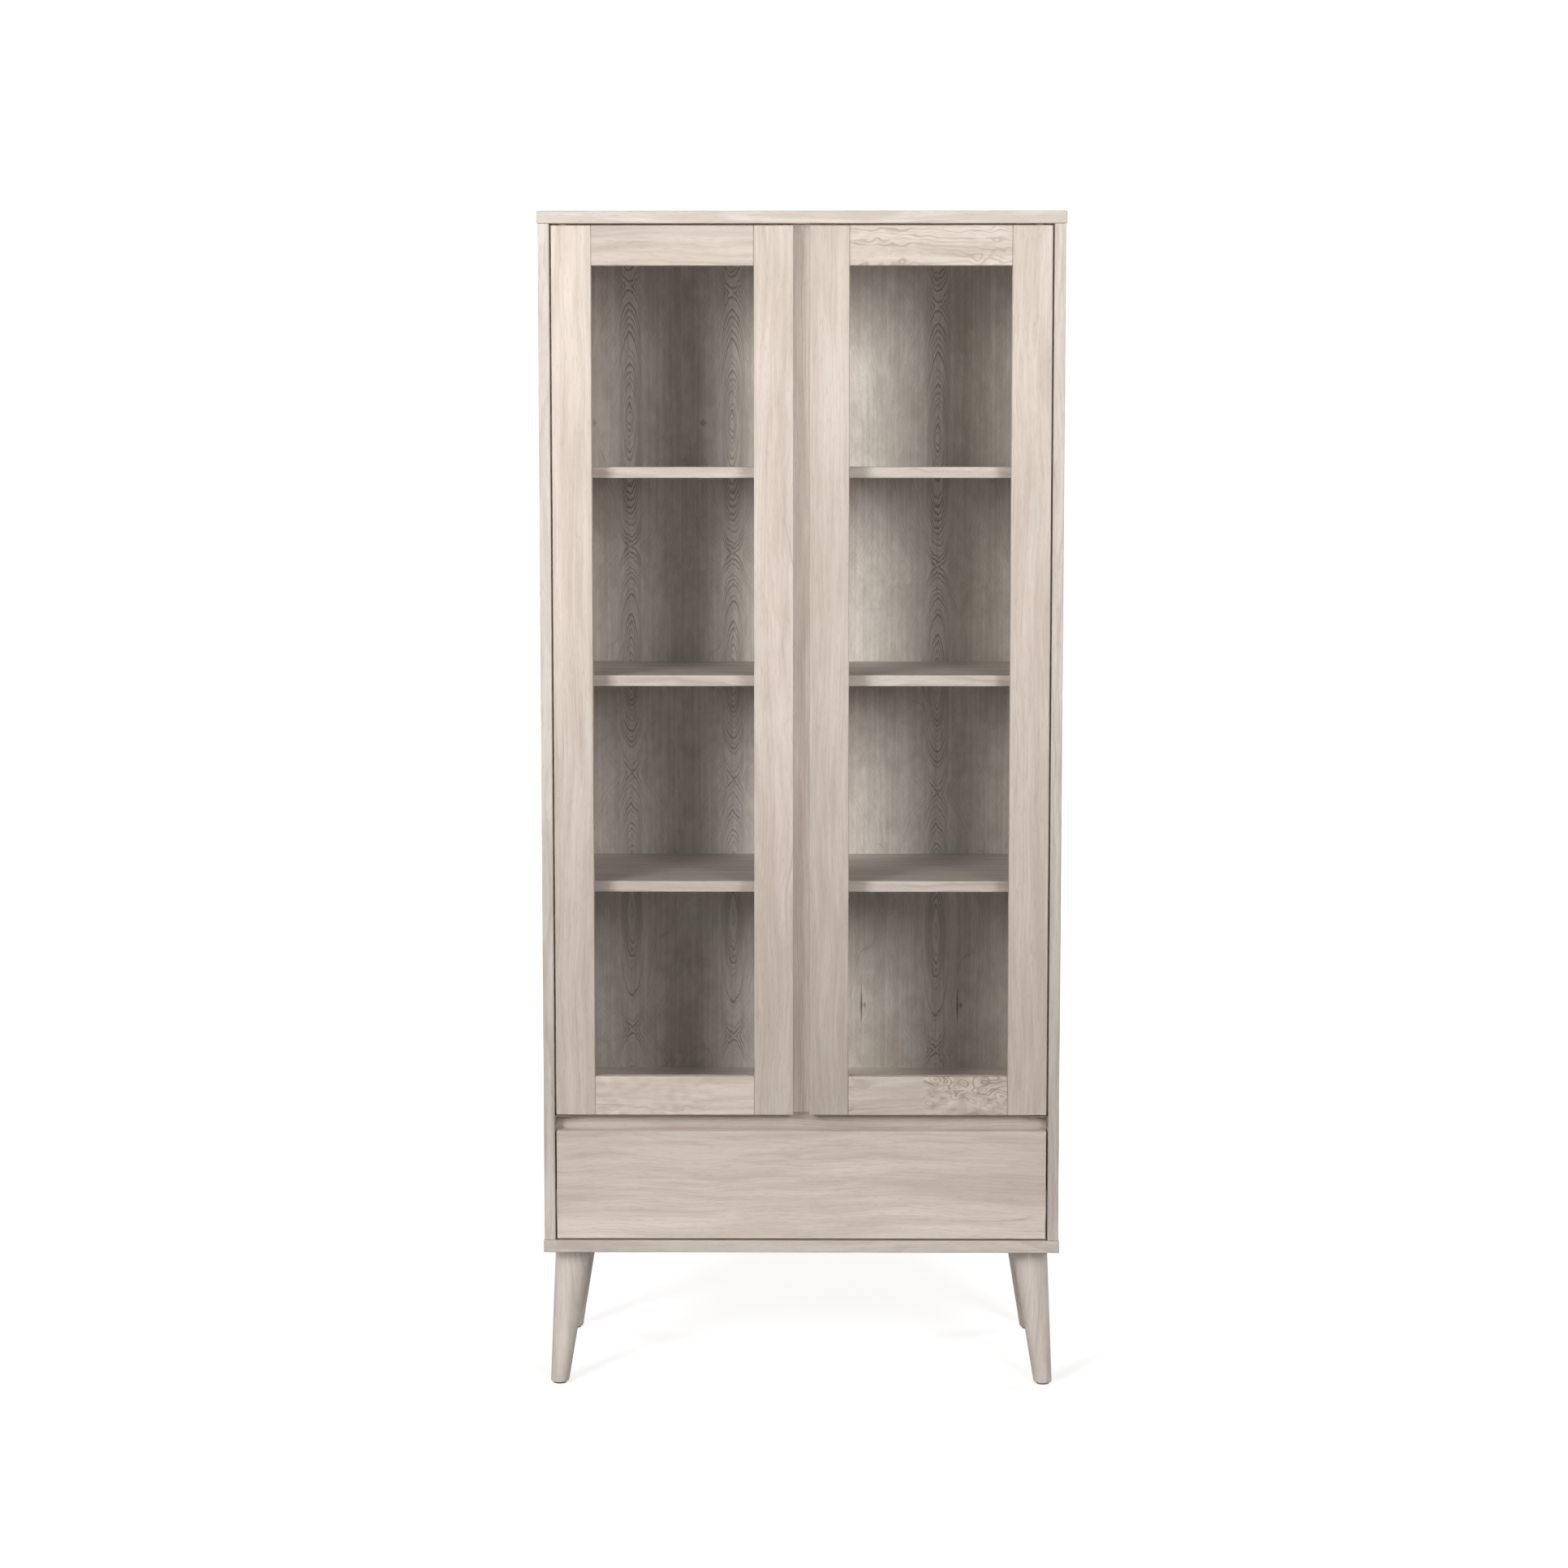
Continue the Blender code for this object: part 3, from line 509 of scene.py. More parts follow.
def coat_surface(tree, output, colour, rough, normal, more=None):
    """Adds the surface shader and links it to the material's output."""
    values = {"Base Color": colour, "Roughness": rough, "Normal": normal, **(more or {})}
    surface = add_node(tree, "ShaderNodeBsdfPrincipled", {}, values)
    tree.links.new(surface.outputs["BSDF"], output.inputs["Surface"])


def whitewashed_oak(name, grain, heart, spacing, wander, figure, tone_and_painted_light=1.0, tint="FFFFFF",
                    waves=1.0, curl=0.0, lit_edge=None):
    """Makes one board's oak. The heart is a point that the middle of its tree goes through.

    The last argument gives the depth of a strip along the front edge that is painted paler, a
    painted highlight, and how much paler it is.
    """
    material, tree, output = new_material("whitewashed_oak_" + name)
    shift = -(GRAIN_TURN[grain].to_matrix() @ Vector(heart))
    place = object_place(tree)
    # The tone makes the whole board paler or darker: the board's own tone, and on some boards
    # painted light as well.
    wash_and_painted_light = [channel * tone_and_painted_light for channel in linear(tint)[:3]] + [1.0]
    # A strip along the front edge is painted paler: a painted highlight on an edge that the lamps
    # catch.
    if lit_edge:
        edge, edge_lift = lit_edge
        lit_edge_wash = [channel * edge_lift for channel in wash_and_painted_light[:3]] + [1.0]
        split = add_node(tree, "ShaderNodeSeparateXYZ", {}, {"Vector": place})
        behind_lit_edge = ramp(tree, split.outputs["Y"], edge - EDGE_JOINT, edge, smooth=False)
        wash_and_painted_light = mixed(tree, behind_lit_edge, lit_edge_wash, wash_and_painted_light)
    figure_node = add_node(
        tree, "ShaderNodeGroup", {"node_tree": oak},
        {
            "Place": turned_to_grain(tree, place, grain, shift[:]), "Ring spacing": spacing,
            "Wander": wander, "Waves": waves, "Curl": curl, "Figure": figure, "Tint": wash_and_painted_light,
        },
    )
    coat_surface(
        tree, output, figure_node.outputs["Color"], figure_node.outputs["Roughness"],
        bumped(tree, figure_node.outputs["Height"], 0.35, PORE_DEPTH), {"IOR": LACQUER_INDEX},
    )
    return material


def finish_node(name, material):
    """Puts one material in every slot of a solid of the cabinet."""
    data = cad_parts[name].data
    if not data.materials:
        data.materials.append(material)
    for slot in range(len(data.materials)):
        data.materials[slot] = material


def finish_board(name, grain, across=0.0, behind=0.05, spacing=0.0045, wander=0.03, figure=0.5,
                 slide=0.0, tone_and_painted_light=1.0, tint="FFFFFF", waves=1.0, curl=0.0, lit_edge_lift=None):
    """Finishes one board.

    `across` and `behind` say how far the heart lies from the board's middle, and `slide` how far
    up the trunk the board was cut.
    """
    low, high = (Vector(corner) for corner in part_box(name))
    size = high - low
    thin = min(range(3), key=lambda axis: size[axis])
    long = "xyz".index(grain)
    wide = 3 - thin - long
    heart = (low + high) / 2
    heart[wide] += across
    heart[thin] += behind
    heart[long] += slide
    # Shelves get a front strip painted paler, a painted highlight on their edges.
    lit_edge = (low.y + LIT_EDGE_DEPTH, lit_edge_lift) if lit_edge_lift else None
    oak_board = whitewashed_oak(
        name, grain, heart, spacing, wander, figure, tone_and_painted_light, tint, waves, curl, lit_edge
    )
    finish_node(name, oak_board)


print("solids in the frame:", len(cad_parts))

# %% [markdown]
# ## The case
#
# Top and bottom boards and the two sides are veneered boards with solid lippings. Their grain
# runs the long way: across on the top and bottom, upright on the sides. The shelves are painted
# darker, a painted shade on their tops, and a strip along their front edge is painted paler, a
# painted highlight.

# %% Finish the case
finish_board("top_board", "x", across=0.19, behind=-0.06, figure=0.45, slide=0.4)
finish_board("bottom_board", "x", across=0.17, behind=0.05, figure=0.40, slide=0.9, tone_and_painted_light=0.985)
finish_board("left_side", "z", across=0.10, behind=0.07, figure=0.35, slide=1.3, tone_and_painted_light=1.11)
finish_board("right_side", "z", across=-0.08, behind=-0.06, figure=0.35, slide=2.1)
finish_board("centre_stile", "z", across=0.12, behind=0.05, figure=0.35, slide=0.7, tone_and_painted_light=1.02)
finish_board("drawer_rail", "x", across=0.09, behind=0.04, figure=0.35, slide=1.8, tone_and_painted_light=0.89)
finish_board("floor_board", "x", across=0.05, behind=-0.07, figure=0.45, slide=0.2)
# Painted shade and light: the shelf oak is painted darker for the shade on the tops, and its front
# strip 1.38 times paler as a painted highlight.
for number_from_floor, shelf in enumerate(("lower_shelf", "middle_shelf", "upper_shelf")):
    finish_board(
        shelf, "x", across=0.03 * number_from_floor, behind=-0.06, figure=0.45,
        slide=0.5 + 0.7 * number_from_floor, tone_and_painted_light=0.80, tint="FFFAFC", lit_edge_lift=1.38,
    )
print("case boards finished")

# %% [markdown]
# ## The doors
#
# Frame doors are joined from solid strips, so the grain turns the corner at every joint. Most
# strips are cut with straight grain; the rails here show arches, eyes and, on the lower right,
# a lively waved figure. Those rails get a heart close behind the face.

# %% Finish the doors and the drawer front
DOOR_WASH = "FFFCF9"
# The tones differ from strip to strip as real boards do. They also paint light: the left hinge
# stile, the bottom rails and the drawer front are painted paler, which evens out how much less
# light the lamps give the lower part of the front.
DOOR_STRIPS = (
    ("left_door_hinge_stile", "z", {"across": -0.10, "figure": 0.15, "slide": 0.3, "tone_and_painted_light": 1.05}),
    ("left_door_meeting_stile", "z", {"across": 0.055, "figure": 0.20, "slide": 1.1}),
    (
        "right_door_meeting_stile", "z",
        {"across": -0.09, "figure": 0.15, "slide": 2.6, "tone_and_painted_light": 0.91},
    ),
    ("right_door_hinge_stile", "z", {"across": 0.06, "figure": 0.20, "slide": 3.3}),
    (
        "left_door_top_rail", "x",
        {
            "across": 0.0, "behind": 0.02, "figure": 0.25, "slide": 0.15, "wander": 0.05,
            "spacing": 0.0080, "tone_and_painted_light": 0.86,
        },
    ),
    (
        "right_door_top_rail", "x",
        {
            "across": -0.014, "behind": 0.010, "figure": 0.75, "slide": 1.45, "wander": 0.012,
            "spacing": 0.0050, "waves": 2.0, "curl": 0.40, "tone_and_painted_light": 0.92,
        },
    ),
    (
        "left_door_bottom_rail", "x",
        {
            "across": 0.015, "behind": 0.03, "figure": 0.35, "slide": 2.2, "wander": 0.04,
            "spacing": 0.0080, "curl": 0.5, "tone_and_painted_light": 1.21,
        },
    ),
    (
        "right_door_bottom_rail", "x",
        {
            "across": 0.02, "behind": 0.03, "figure": 1.0, "slide": 0.85, "wander": 0.03,
            "spacing": 0.0066, "curl": 1.1, "tone_and_painted_light": 1.12,
        },
    ),
    (
        "drawer_front", "x",
        {
            "across": 0.16, "behind": 0.12, "figure": 0.16, "slide": 2.9, "wander": 0.10,
            "tone_and_painted_light": 1.16,
        },
    ),
)
for strip, grain, cut in DOOR_STRIPS:
    finish_board(strip, grain, tint=DOOR_WASH, **cut)
print("doors and drawer front finished")

# %% [markdown]
# ## The back panel
#
# The back is thin board faced with sliced veneer. Veneer leaves come off one log in order, and
# they are laid side by side, so the same arch returns at every joint. The leaves here are
# 179 mm wide, and each has one narrow column of arches. Within the column the rings are crowded
# together sideways, which makes the arches steep. Fine upright lines run between the columns,
# and the log had two small knots and two cracks. The face towards the wall has plain veneer.

# %% Veneer the back
LEAF_WIDTH = 0.179
LEAF_START = -0.389
LEAF_RISE = 0.012
HEART_SLOPE = 0.33
HEART_SWELL = 0.06
HEART_NEAREST = 0.012
HEART_SWING = 0.07
COLUMN_CORE, COLUMN_EDGE = 0.010, 0.028
STEEP_WIDTH, STEEP_DEPTH, STEEP_OUTSIDE = 0.022, 0.036, 0.7
DARK_RING_SHARE = 0.56
FIGURE_OUTSIDE = 0.20
VENEER_RINGS, VENEER_WANDER, VENEER_WAVES, VENEER_CURL = 0.0038, 0.010, 0.8, 0.10
VENEER_PORE_DEPTH = 0.0002
SWELL_CELLS = (2.5, 1.0, 1.0)
LINE_CELLS = (190.0, 40.0, 3.5)
LINE_DARK, LINE_LIGHT = 0.92, 1.06
BACK_WASH = linear("F1F2F4")
BACK_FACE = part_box("back_panel")[1][1]
# Each small knot or crack: its place across and up, its half width and half height, its strength.
KNOTS = (
    (-0.362, 1.598, 0.009, 0.009, 0.40), (-0.172, 1.598, 0.010, 0.009, 0.50),
    (0.106, 0.572, 0.0034, 0.050, 0.90), (0.112, 0.572, 0.0050, 0.009, 0.60),
    (0.276, 0.572, 0.0034, 0.050, 0.90), (0.282, 0.572, 0.0050, 0.009, 0.60),
)


def leaf_veneered_oak(name):
    """Makes the veneer of the back: one leaf of upright oak, laid again and again."""
    material, tree, output = new_material(name)
    here = object_place(tree)
    split = add_node(tree, "ShaderNodeSeparateXYZ", {}, {"Vector": here})
    from_start = number(tree, "SUBTRACT", split.outputs["X"], LEAF_START)
    leaves = number(tree, "DIVIDE", from_start, LEAF_WIDTH)
    leaf = number(tree, "FLOOR", leaves)
    inside = number(tree, "SUBTRACT", number(tree, "FRACT", leaves), 0.5)
    inside = number(tree, "MULTIPLY", inside, LEAF_WIDTH)
    risen = number(tree, "ADD", split.outputs["Z"], number(tree, "MULTIPLY", leaf, LEAF_RISE))
    level = add_node(tree, "ShaderNodeCombineXYZ", {}, {"X": risen})
    swell = grain_noise(tree, level.outputs["Vector"], SWELL_CELLS).outputs[0]
    swell = number(tree, "MULTIPLY", swell, HEART_SWELL)
    climb = number(tree, "ADD", number(tree, "MULTIPLY", risen, HEART_SLOPE), swell)
    heart = number(tree, "ADD", number(tree, "PINGPONG", climb, HEART_SWING), HEART_NEAREST)
    aside = number(tree, "ABSOLUTE", inside)
    near_heart = ramp(tree, aside, COLUMN_CORE, COLUMN_EDGE, 1.0, 0.0)
    inner_face = ramp(tree, split.outputs["Y"], BACK_FACE - 0.004, BACK_FACE - 0.002, 1.0, 0.0)
    near_heart = number(tree, "MULTIPLY", near_heart, inner_face)
    figure = ramp(tree, near_heart, 0.0, 1.0, FIGURE_OUTSIDE, 1.0)
    steep = ramp(tree, aside, 0.0, STEEP_WIDTH, 0.0, STEEP_DEPTH, smooth=False)
    steep = number(tree, "ADD", steep, number(tree, "MULTIPLY", aside, STEEP_OUTSIDE))
    steep = number(tree, "MULTIPLY", steep, number(tree, "SIGN", inside))
    place = add_node(tree, "ShaderNodeCombineXYZ", {}, {"X": risen, "Y": heart, "Z": steep})
    figure_node = add_node(
        tree, "ShaderNodeGroup", {"node_tree": oak},
        {
            "Place": place.outputs["Vector"], "Ring spacing": VENEER_RINGS,
            "Wander": VENEER_WANDER, "Waves": VENEER_WAVES, "Curl": VENEER_CURL,
            "Figure": figure, "Tint": BACK_WASH,
        },
    )
    dark_rings = number(tree, "MULTIPLY", figure_node.outputs["Late wood"], near_heart)
    dark_rings = number(tree, "MULTIPLY", dark_rings, DARK_RING_SHARE)
    colour = mixed(tree, dark_rings, figure_node.outputs["Color"], OAK_MINERAL)
    for across, up, wide, tall, strength in KNOTS:
        off = number(tree, "SUBTRACT", split.outputs["X"], across)
        off = number(tree, "ABSOLUTE", number(tree, "DIVIDE", off, wide))
        rise = number(tree, "SUBTRACT", split.outputs["Z"], up)
        rise = number(tree, "ABSOLUTE", number(tree, "DIVIDE", rise, tall))
        reach = number(tree, "ADD", off, number(tree, "POWER", rise, 1.2))
        knot = number(tree, "MULTIPLY", ramp(tree, reach, 0.15, 1.0, strength, 0.0), inner_face)
        colour = mixed(tree, knot, colour, OAK_KNOT)
    lines = grain_noise(tree, here, LINE_CELLS, 2.0).outputs[0]
    colour = shaded(tree, colour, ramp(tree, lines, 0.32, 0.68, LINE_LIGHT, LINE_DARK))
    coat_surface(
        tree, output, colour, figure_node.outputs["Roughness"],
        bumped(tree, figure_node.outputs["Height"], 0.3, VENEER_PORE_DEPTH),
        {"IOR": LACQUER_INDEX},
    )
    return material


finish_node("back_panel", leaf_veneered_oak("leaf_veneered_oak"))
print("veneer leaves", LEAF_WIDTH * 1000, "mm wide")

# %% [markdown]
# ## Panes
#
# Float glass 4 mm thick is clear, with a trace of grey-green that shows at its edges. It bends
# what is seen and mirrors a little of the room. Window glass has an index of 1.52; this one has
# 1.28, because the studio around it is all white and the real panes face a dark room. Light
# from the lamps has to reach the shelves, so rays that look for a lamp pass straight through.

# %% Glaze the doors
PANE_INDEX = 1.28
WAVE_CELLS = (2.5, 2.5, 2.5)

glass, tree, output = new_material("clear_float_glass")
waviness = grain_noise(tree, object_place(tree), WAVE_CELLS).outputs[0]
pane = add_node(
    tree, "ShaderNodeBsdfPrincipled", {},
    {
        "Base Color": linear("F4F6F5"), "Roughness": 0.0, "IOR": PANE_INDEX,
        "Transmission Weight": 1.0, "Normal": bumped(tree, waviness, 0.04, 0.002),
    },
)
clear = add_node(tree, "ShaderNodeBsdfTransparent", {}, {"Color": linear("FAFBFA")})
rays = add_node(tree, "ShaderNodeLightPath")
passing = number(tree, "MAXIMUM", rays.outputs["Is Shadow Ray"], rays.outputs["Is Diffuse Ray"])
through = add_node(
    tree, "ShaderNodeMixShader", {}, {0: passing, 1: pane.outputs["BSDF"], 2: clear.outputs["BSDF"]}
)
tree.links.new(through.outputs["Shader"], output.inputs["Surface"])
for door in ("left_door", "right_door"):
    finish_node(door + "_glass", glass)
print("panes glazed")

# %% [markdown]
# ## Turned legs
#
# The legs are turned from solid oak: a straight taper from 60 mm under the board to 30 mm at
# the floor, leaning outwards both ways. A lathe leaves a true circle and a small rounding at
# the foot. The shape follows a rule, so a node tree sweeps a circle along a line whose points
# crowd towards the foot, where the rounding needs them, and then leans the whole leg. Leaning
# keeps the top flat under the board and the foot flat on the floor.

# %% Build the tree that turns a leg
LEG_STEPS = 60
LEG_SIDES = 72
END_FACE_UPRIGHT = 0.95
LEG_INPUTS = (
    ("Foot", "NodeSocketVector"), ("Lean", "NodeSocketVector"), ("Height", "NodeSocketFloat"),
    ("Top radius", "NodeSocketFloat"), ("Foot radius", "NodeSocketFloat"),
    ("Foot rounding", "NodeSocketFloat"), ("Oak", "NodeSocketMaterial"),
)


def shape_tree(name, inputs):
    """Makes an empty geometry tree with named inputs, and returns its two ends as well."""
    tree = bpy.data.node_groups.new(name, "GeometryNodeTree")
    tree.interface.new_socket("Geometry", in_out="INPUT", socket_type="NodeSocketGeometry")
    for socket_name, kind in inputs:
        tree.interface.new_socket(socket_name, in_out="INPUT", socket_type=kind)
    tree.interface.new_socket("Geometry", in_out="OUTPUT", socket_type="NodeSocketGeometry")
    return tree, add_node(tree, "NodeGroupInput"), add_node(tree, "NodeGroupOutput")


def finish_shape(tree, geometry, material, done):
    """Makes copies real, gives the shape its material and links it to the tree's end."""
    real = add_node(tree, "GeometryNodeRealizeInstances", {}, {"Geometry": geometry})
    coated = add_node(
        tree, "GeometryNodeSetMaterial", {},
        {"Geometry": real.outputs["Geometry"], "Material": material},
    )
    tree.links.new(coated.outputs["Geometry"], done.inputs["Geometry"])


leg_tree, given, done = shape_tree("turn_a_leg", LEG_INPUTS)
line = add_node(leg_tree, "GeometryNodeCurvePrimitiveLine", {}, {"End": (0.0, 0.0, 1.0)})
steps = add_node(
    leg_tree, "GeometryNodeResampleCurve", {}, {"Curve": line.outputs["Curve"], "Count": LEG_STEPS}
)
share = add_node(leg_tree, "GeometryNodeSplineParameter").outputs["Factor"]
crowded = number(leg_tree, "POWER", share, 2.0)
crowded = number(leg_tree, "MULTIPLY", crowded, given.outputs["Height"])
level = add_node(leg_tree, "ShaderNodeCombineXYZ", {}, {"Z": crowded})
axis = add_node(
    leg_tree, "GeometryNodeSetPosition", {},
    {"Geometry": steps.outputs["Curve"], "Position": level.outputs["Vector"]},
)
here = add_node(leg_tree, "GeometryNodeInputPosition").outputs["Position"]
rise = add_node(leg_tree, "ShaderNodeSeparateXYZ", {}, {"Vector": here}).outputs["Z"]
taper = add_node(
    leg_tree, "ShaderNodeMapRange", {},
    {
        "Value": rise, "From Max": given.outputs["Height"], "To Min": given.outputs["Foot radius"],
        "To Max": given.outputs["Top radius"],
    },
).outputs["Result"]
rounding = given.outputs["Foot rounding"]
below = number(leg_tree, "MAXIMUM", number(leg_tree, "SUBTRACT", rounding, rise), 0.0)
arc = number(leg_tree, "POWER", rounding, 2.0)
arc = number(leg_tree, "SUBTRACT", arc, number(leg_tree, "POWER", below, 2.0))
arc = number(leg_tree, "SQRT", number(leg_tree, "MAXIMUM", arc, 0.0))
inset = number(leg_tree, "SUBTRACT", rounding, arc)
circle = add_node(
    leg_tree, "GeometryNodeCurvePrimitiveCircle", {"mode": "RADIUS"},
    {"Resolution": LEG_SIDES, "Radius": 1.0},
)
swept = add_node(
    leg_tree, "GeometryNodeCurveToMesh", {},
    {
        "Curve": axis.outputs["Geometry"], "Profile Curve": circle.outputs["Curve"],
        "Scale": number(leg_tree, "SUBTRACT", taper, inset), "Fill Caps": True,
    },
)
risen = number(leg_tree, "DIVIDE", rise, given.outputs["Height"])
leaning = scaled(leg_tree, given.outputs["Lean"], risen)
shift = vector_math(leg_tree, "ADD", leaning, given.outputs["Foot"])
leant = add_node(
    leg_tree, "GeometryNodeSetPosition", {}, {"Geometry": swept.outputs["Mesh"], "Offset": shift}
)
facing = add_node(leg_tree, "GeometryNodeInputNormal").outputs["Normal"]
upright = add_node(leg_tree, "ShaderNodeSeparateXYZ", {}, {"Vector": facing}).outputs["Z"]
on_side = number(leg_tree, "LESS_THAN", number(leg_tree, "ABSOLUTE", upright), END_FACE_UPRIGHT)
smooth = add_node(
    leg_tree, "GeometryNodeSetShadeSmooth", {},
    {"Geometry": leant.outputs["Geometry"], "Shade Smooth": on_side},
)
finish_shape(leg_tree, smooth.outputs["Geometry"], given.outputs["Oak"], done)
print("leg tree:", len(leg_tree.nodes), "nodes")

# %% [markdown]
# ## From a tree to plain meshes
#
# A tree needs an object to hang on. The helper gives it an empty mesh, sets each named input by
# its socket's identifier, reads the finished shape and keeps that as a plain mesh.

# %% Grow a piece from a tree
def grow(name, tree, values, body):
    """Runs a geometry tree with the given inputs and leaves one plain mesh on a body."""
    seed = bpy.data.objects.new(name + "_seed", bpy.data.meshes.new(name + "_seed"))
    bpy.context.scene.collection.objects.link(seed)
    modifier = seed.modifiers.new(tree.name, "NODES")
    modifier.node_group = tree
    identifiers = {
        item.name: item.identifier for item in tree.interface.items_tree
        if item.item_type == "SOCKET" and item.in_out == "INPUT"
    }
    for key, value in values.items():
        modifier[identifiers[key]] = value
    graph = bpy.context.evaluated_depsgraph_get()
    mesh = bpy.data.meshes.new_from_object(seed.evaluated_get(graph))
    seed.modifiers.remove(modifier)
    bpy.data.objects.remove(seed)
    mesh.name = name
    grown = bpy.data.objects.new(name, mesh)
    bpy.context.scene.collection.objects.link(grown)
    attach(grown, body)
    return grown


# %% [markdown]
# The four legs are one form, mirrored to four places. Each is cut from its own oak, and it takes
# the place of the solid leg of the same name.

# %% Turn the four legs
LEG_TOP = 0.0300
LEG_FOOT = 0.0152
LEG_LEAN = 0.0225
FOOT_PLACE = Vector((0.4025, 0.159))
FOOT_ROUNDING = 0.0022
LEG_RINGS, LEG_WANDER, LEG_FIGURE, LEG_TONE = 0.0042, 0.03, 0.30, 1.06
for row, front in (("front", -1), ("back", 1)):
    for column, side in (("left", -1), ("right", 1)):
        node = f"{row}_{column}_leg"
        low, high = (Vector(corner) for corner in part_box(node))
        foot = (side * FOOT_PLACE.x, front * FOOT_PLACE.y, low.z)
        heart = (foot[0] + side * 0.004, foot[1] + 0.020, side + front * 0.4)
        oak_leg = whitewashed_oak(
            node, "z", heart, LEG_RINGS, LEG_WANDER, LEG_FIGURE, tone_and_painted_light=LEG_TONE
        )
        values = {
            "Foot": foot,
            "Lean": (-side * LEG_LEAN, -front * LEG_LEAN, 0.0),
            "Height": high.z - low.z,
            "Top radius": LEG_TOP,
            "Foot radius": LEG_FOOT,
            "Foot rounding": FOOT_ROUNDING,
            "Oak": oak_leg,
        }
        leg = grow(node + "_turned", leg_tree, values, "case")
        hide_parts(node)
        print(leg.name, len(leg.data.polygons), "faces")

# %% [markdown]
# ## Metal, plastic and birch
#
# Little of the hardware shows, but the doors and the drawer open. Drawer runners are
# cold-rolled steel with a thin bright zinc coat, so they are grey and a little cloudy, with
# faint lines along the rolling direction. The magnets and catch plates are nickel plated and
# smoother. Pivots and bushes sit in the dark gaps above and below the doors, and nothing
# shines there, so they have a dull bronze coat. The glides under the legs are moulded in a
# brown plastic with a fine spark-eroded texture.

# %% Make the hardware finishes
SPECK_CELLS = (2600.0, 2600.0, 2600.0)


def hardware(name, dark, light, rough_low, rough_high, metallic, cells, speck_height):
    """Makes a finish whose colour and shine drift between two values, in cells of a real size."""
    material, tree, output = new_material(name)
    place = object_place(tree)
    cloud = grain_noise(tree, place, cells, 3.0, 0.6).outputs[0]
    speck = grain_noise(tree, place, SPECK_CELLS).outputs[0]
    colour = mixed(tree, ramp(tree, cloud, 0.3, 0.7), linear(dark), linear(light))
    rough = ramp(tree, cloud, 0.3, 0.7, rough_low, rough_high)
    normal = bumped(tree, speck, 0.4, speck_height)
    coat_surface(tree, output, colour, rough, normal, {"Metallic": metallic})
    return material


zinc = hardware(
    "bright_zinc_plated_steel", "AFB2B5", "C9CBCC", 0.28, 0.42, 1.0, (300.0, 9.0, 300.0), 0.00002
)
nickel = hardware(
    "satin_nickel_plate", "BDB8B0", "D3CFC8", 0.20, 0.30, 1.0, (120.0, 120.0, 120.0), 0.00001
)
dark_coat = hardware(
    "bronze_coated_steel", "877A6D", "96897B", 0.60, 0.72, 0.0, (90.0, 90.0, 90.0), 0.00005
)
plastic = hardware(
    "moulded_brown_plastic", "4A4039", "584D45", 0.50, 0.62, 0.0, (60.0, 60.0, 60.0), 0.00004
)
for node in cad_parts:
    if "_bolt" in node or "_runner_" in node:
        finish_node(node, zinc)
    elif "_magnet" in node or "_plate" in node:
        finish_node(node, nickel)
    elif "_pivot" in node or "_bush" in node:
        finish_node(node, dark_coat)
    elif "_glide" in node:
        finish_node(node, plastic)
print("hardware finished")

# %% [markdown]
# The drawer box is birch plywood. Its faces are cream with a soft silky figure, and its edges
# show the plies: nine layers in 12 mm, every second one end grain and darker. The bands are
# worked out from a point's depth in the board, so they appear on the edges and never on a face.

# %% Finish the drawer box
PLY = 0.012 / 9
BIRCH_PALE = linear("E7D9C2")
BIRCH_FLAME = linear("D9C8AD")
BIRCH_FIBRE = linear("BFA885")
BIRCH_END_GRAIN = linear("B1946C")
GLUE_LINE = linear("7D6448")
FLAME_CELLS = (5.0, 24.0, 24.0)
FIBRE_CELLS = (26.0, 700.0, 700.0)
FIBRE_SHARE, END_GRAIN_SHARE, GLUE_SHARE = 0.35, 0.55, 0.35


def birch_plywood(name, grain):
    """Makes the birch plywood of one drawer board."""
    material, tree, output = new_material("birch_plywood_" + name)
    low, high = (Vector(corner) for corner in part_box(name))
    thin = min(range(3), key=lambda axis: (high - low)[axis])
    place = object_place(tree)
    along_grain = turned_to_grain(tree, place, grain, (low.x, 0.3, low.z))
    flame = grain_noise(tree, along_grain, FLAME_CELLS, 3.0, 0.6).outputs[0]
    fibre = grain_noise(tree, along_grain, FIBRE_CELLS, 2.0).outputs[0]
    colour = mixed(tree, ramp(tree, flame, 0.35, 0.65), BIRCH_PALE, BIRCH_FLAME)
    colour = mixed(tree, ramp(tree, fibre, 0.50, 0.75, 0.0, FIBRE_SHARE), colour, BIRCH_FIBRE)
    split = add_node(tree, "ShaderNodeSeparateXYZ", {}, {"Vector": place})
    depth = number(tree, "SUBTRACT", split.outputs["XYZ"[thin]], low[thin])
    plies = number(tree, "DIVIDE", depth, PLY)
    turned_ply = number(tree, "PINGPONG", plies, 1.0)
    second = ramp(tree, number(tree, "FRACT", number(tree, "MULTIPLY", plies, 0.5)), 0.49, 0.51)
    second = number(tree, "MULTIPLY", second, END_GRAIN_SHARE)
    colour = mixed(tree, second, colour, BIRCH_END_GRAIN)
    glue = ramp(tree, turned_ply, 0.0, 0.07, 1.0, 0.0)
    glue = number(tree, "MULTIPLY", glue, ramp(tree, depth, 0.0004, 0.0006))
    colour = mixed(tree, number(tree, "MULTIPLY", glue, GLUE_SHARE), colour, GLUE_LINE)
    rough = ramp(tree, flame, 0.3, 0.7, 0.45, 0.55)
    coat_surface(tree, output, colour, rough, bumped(tree, fibre, 0.2, 0.0001))
    return material


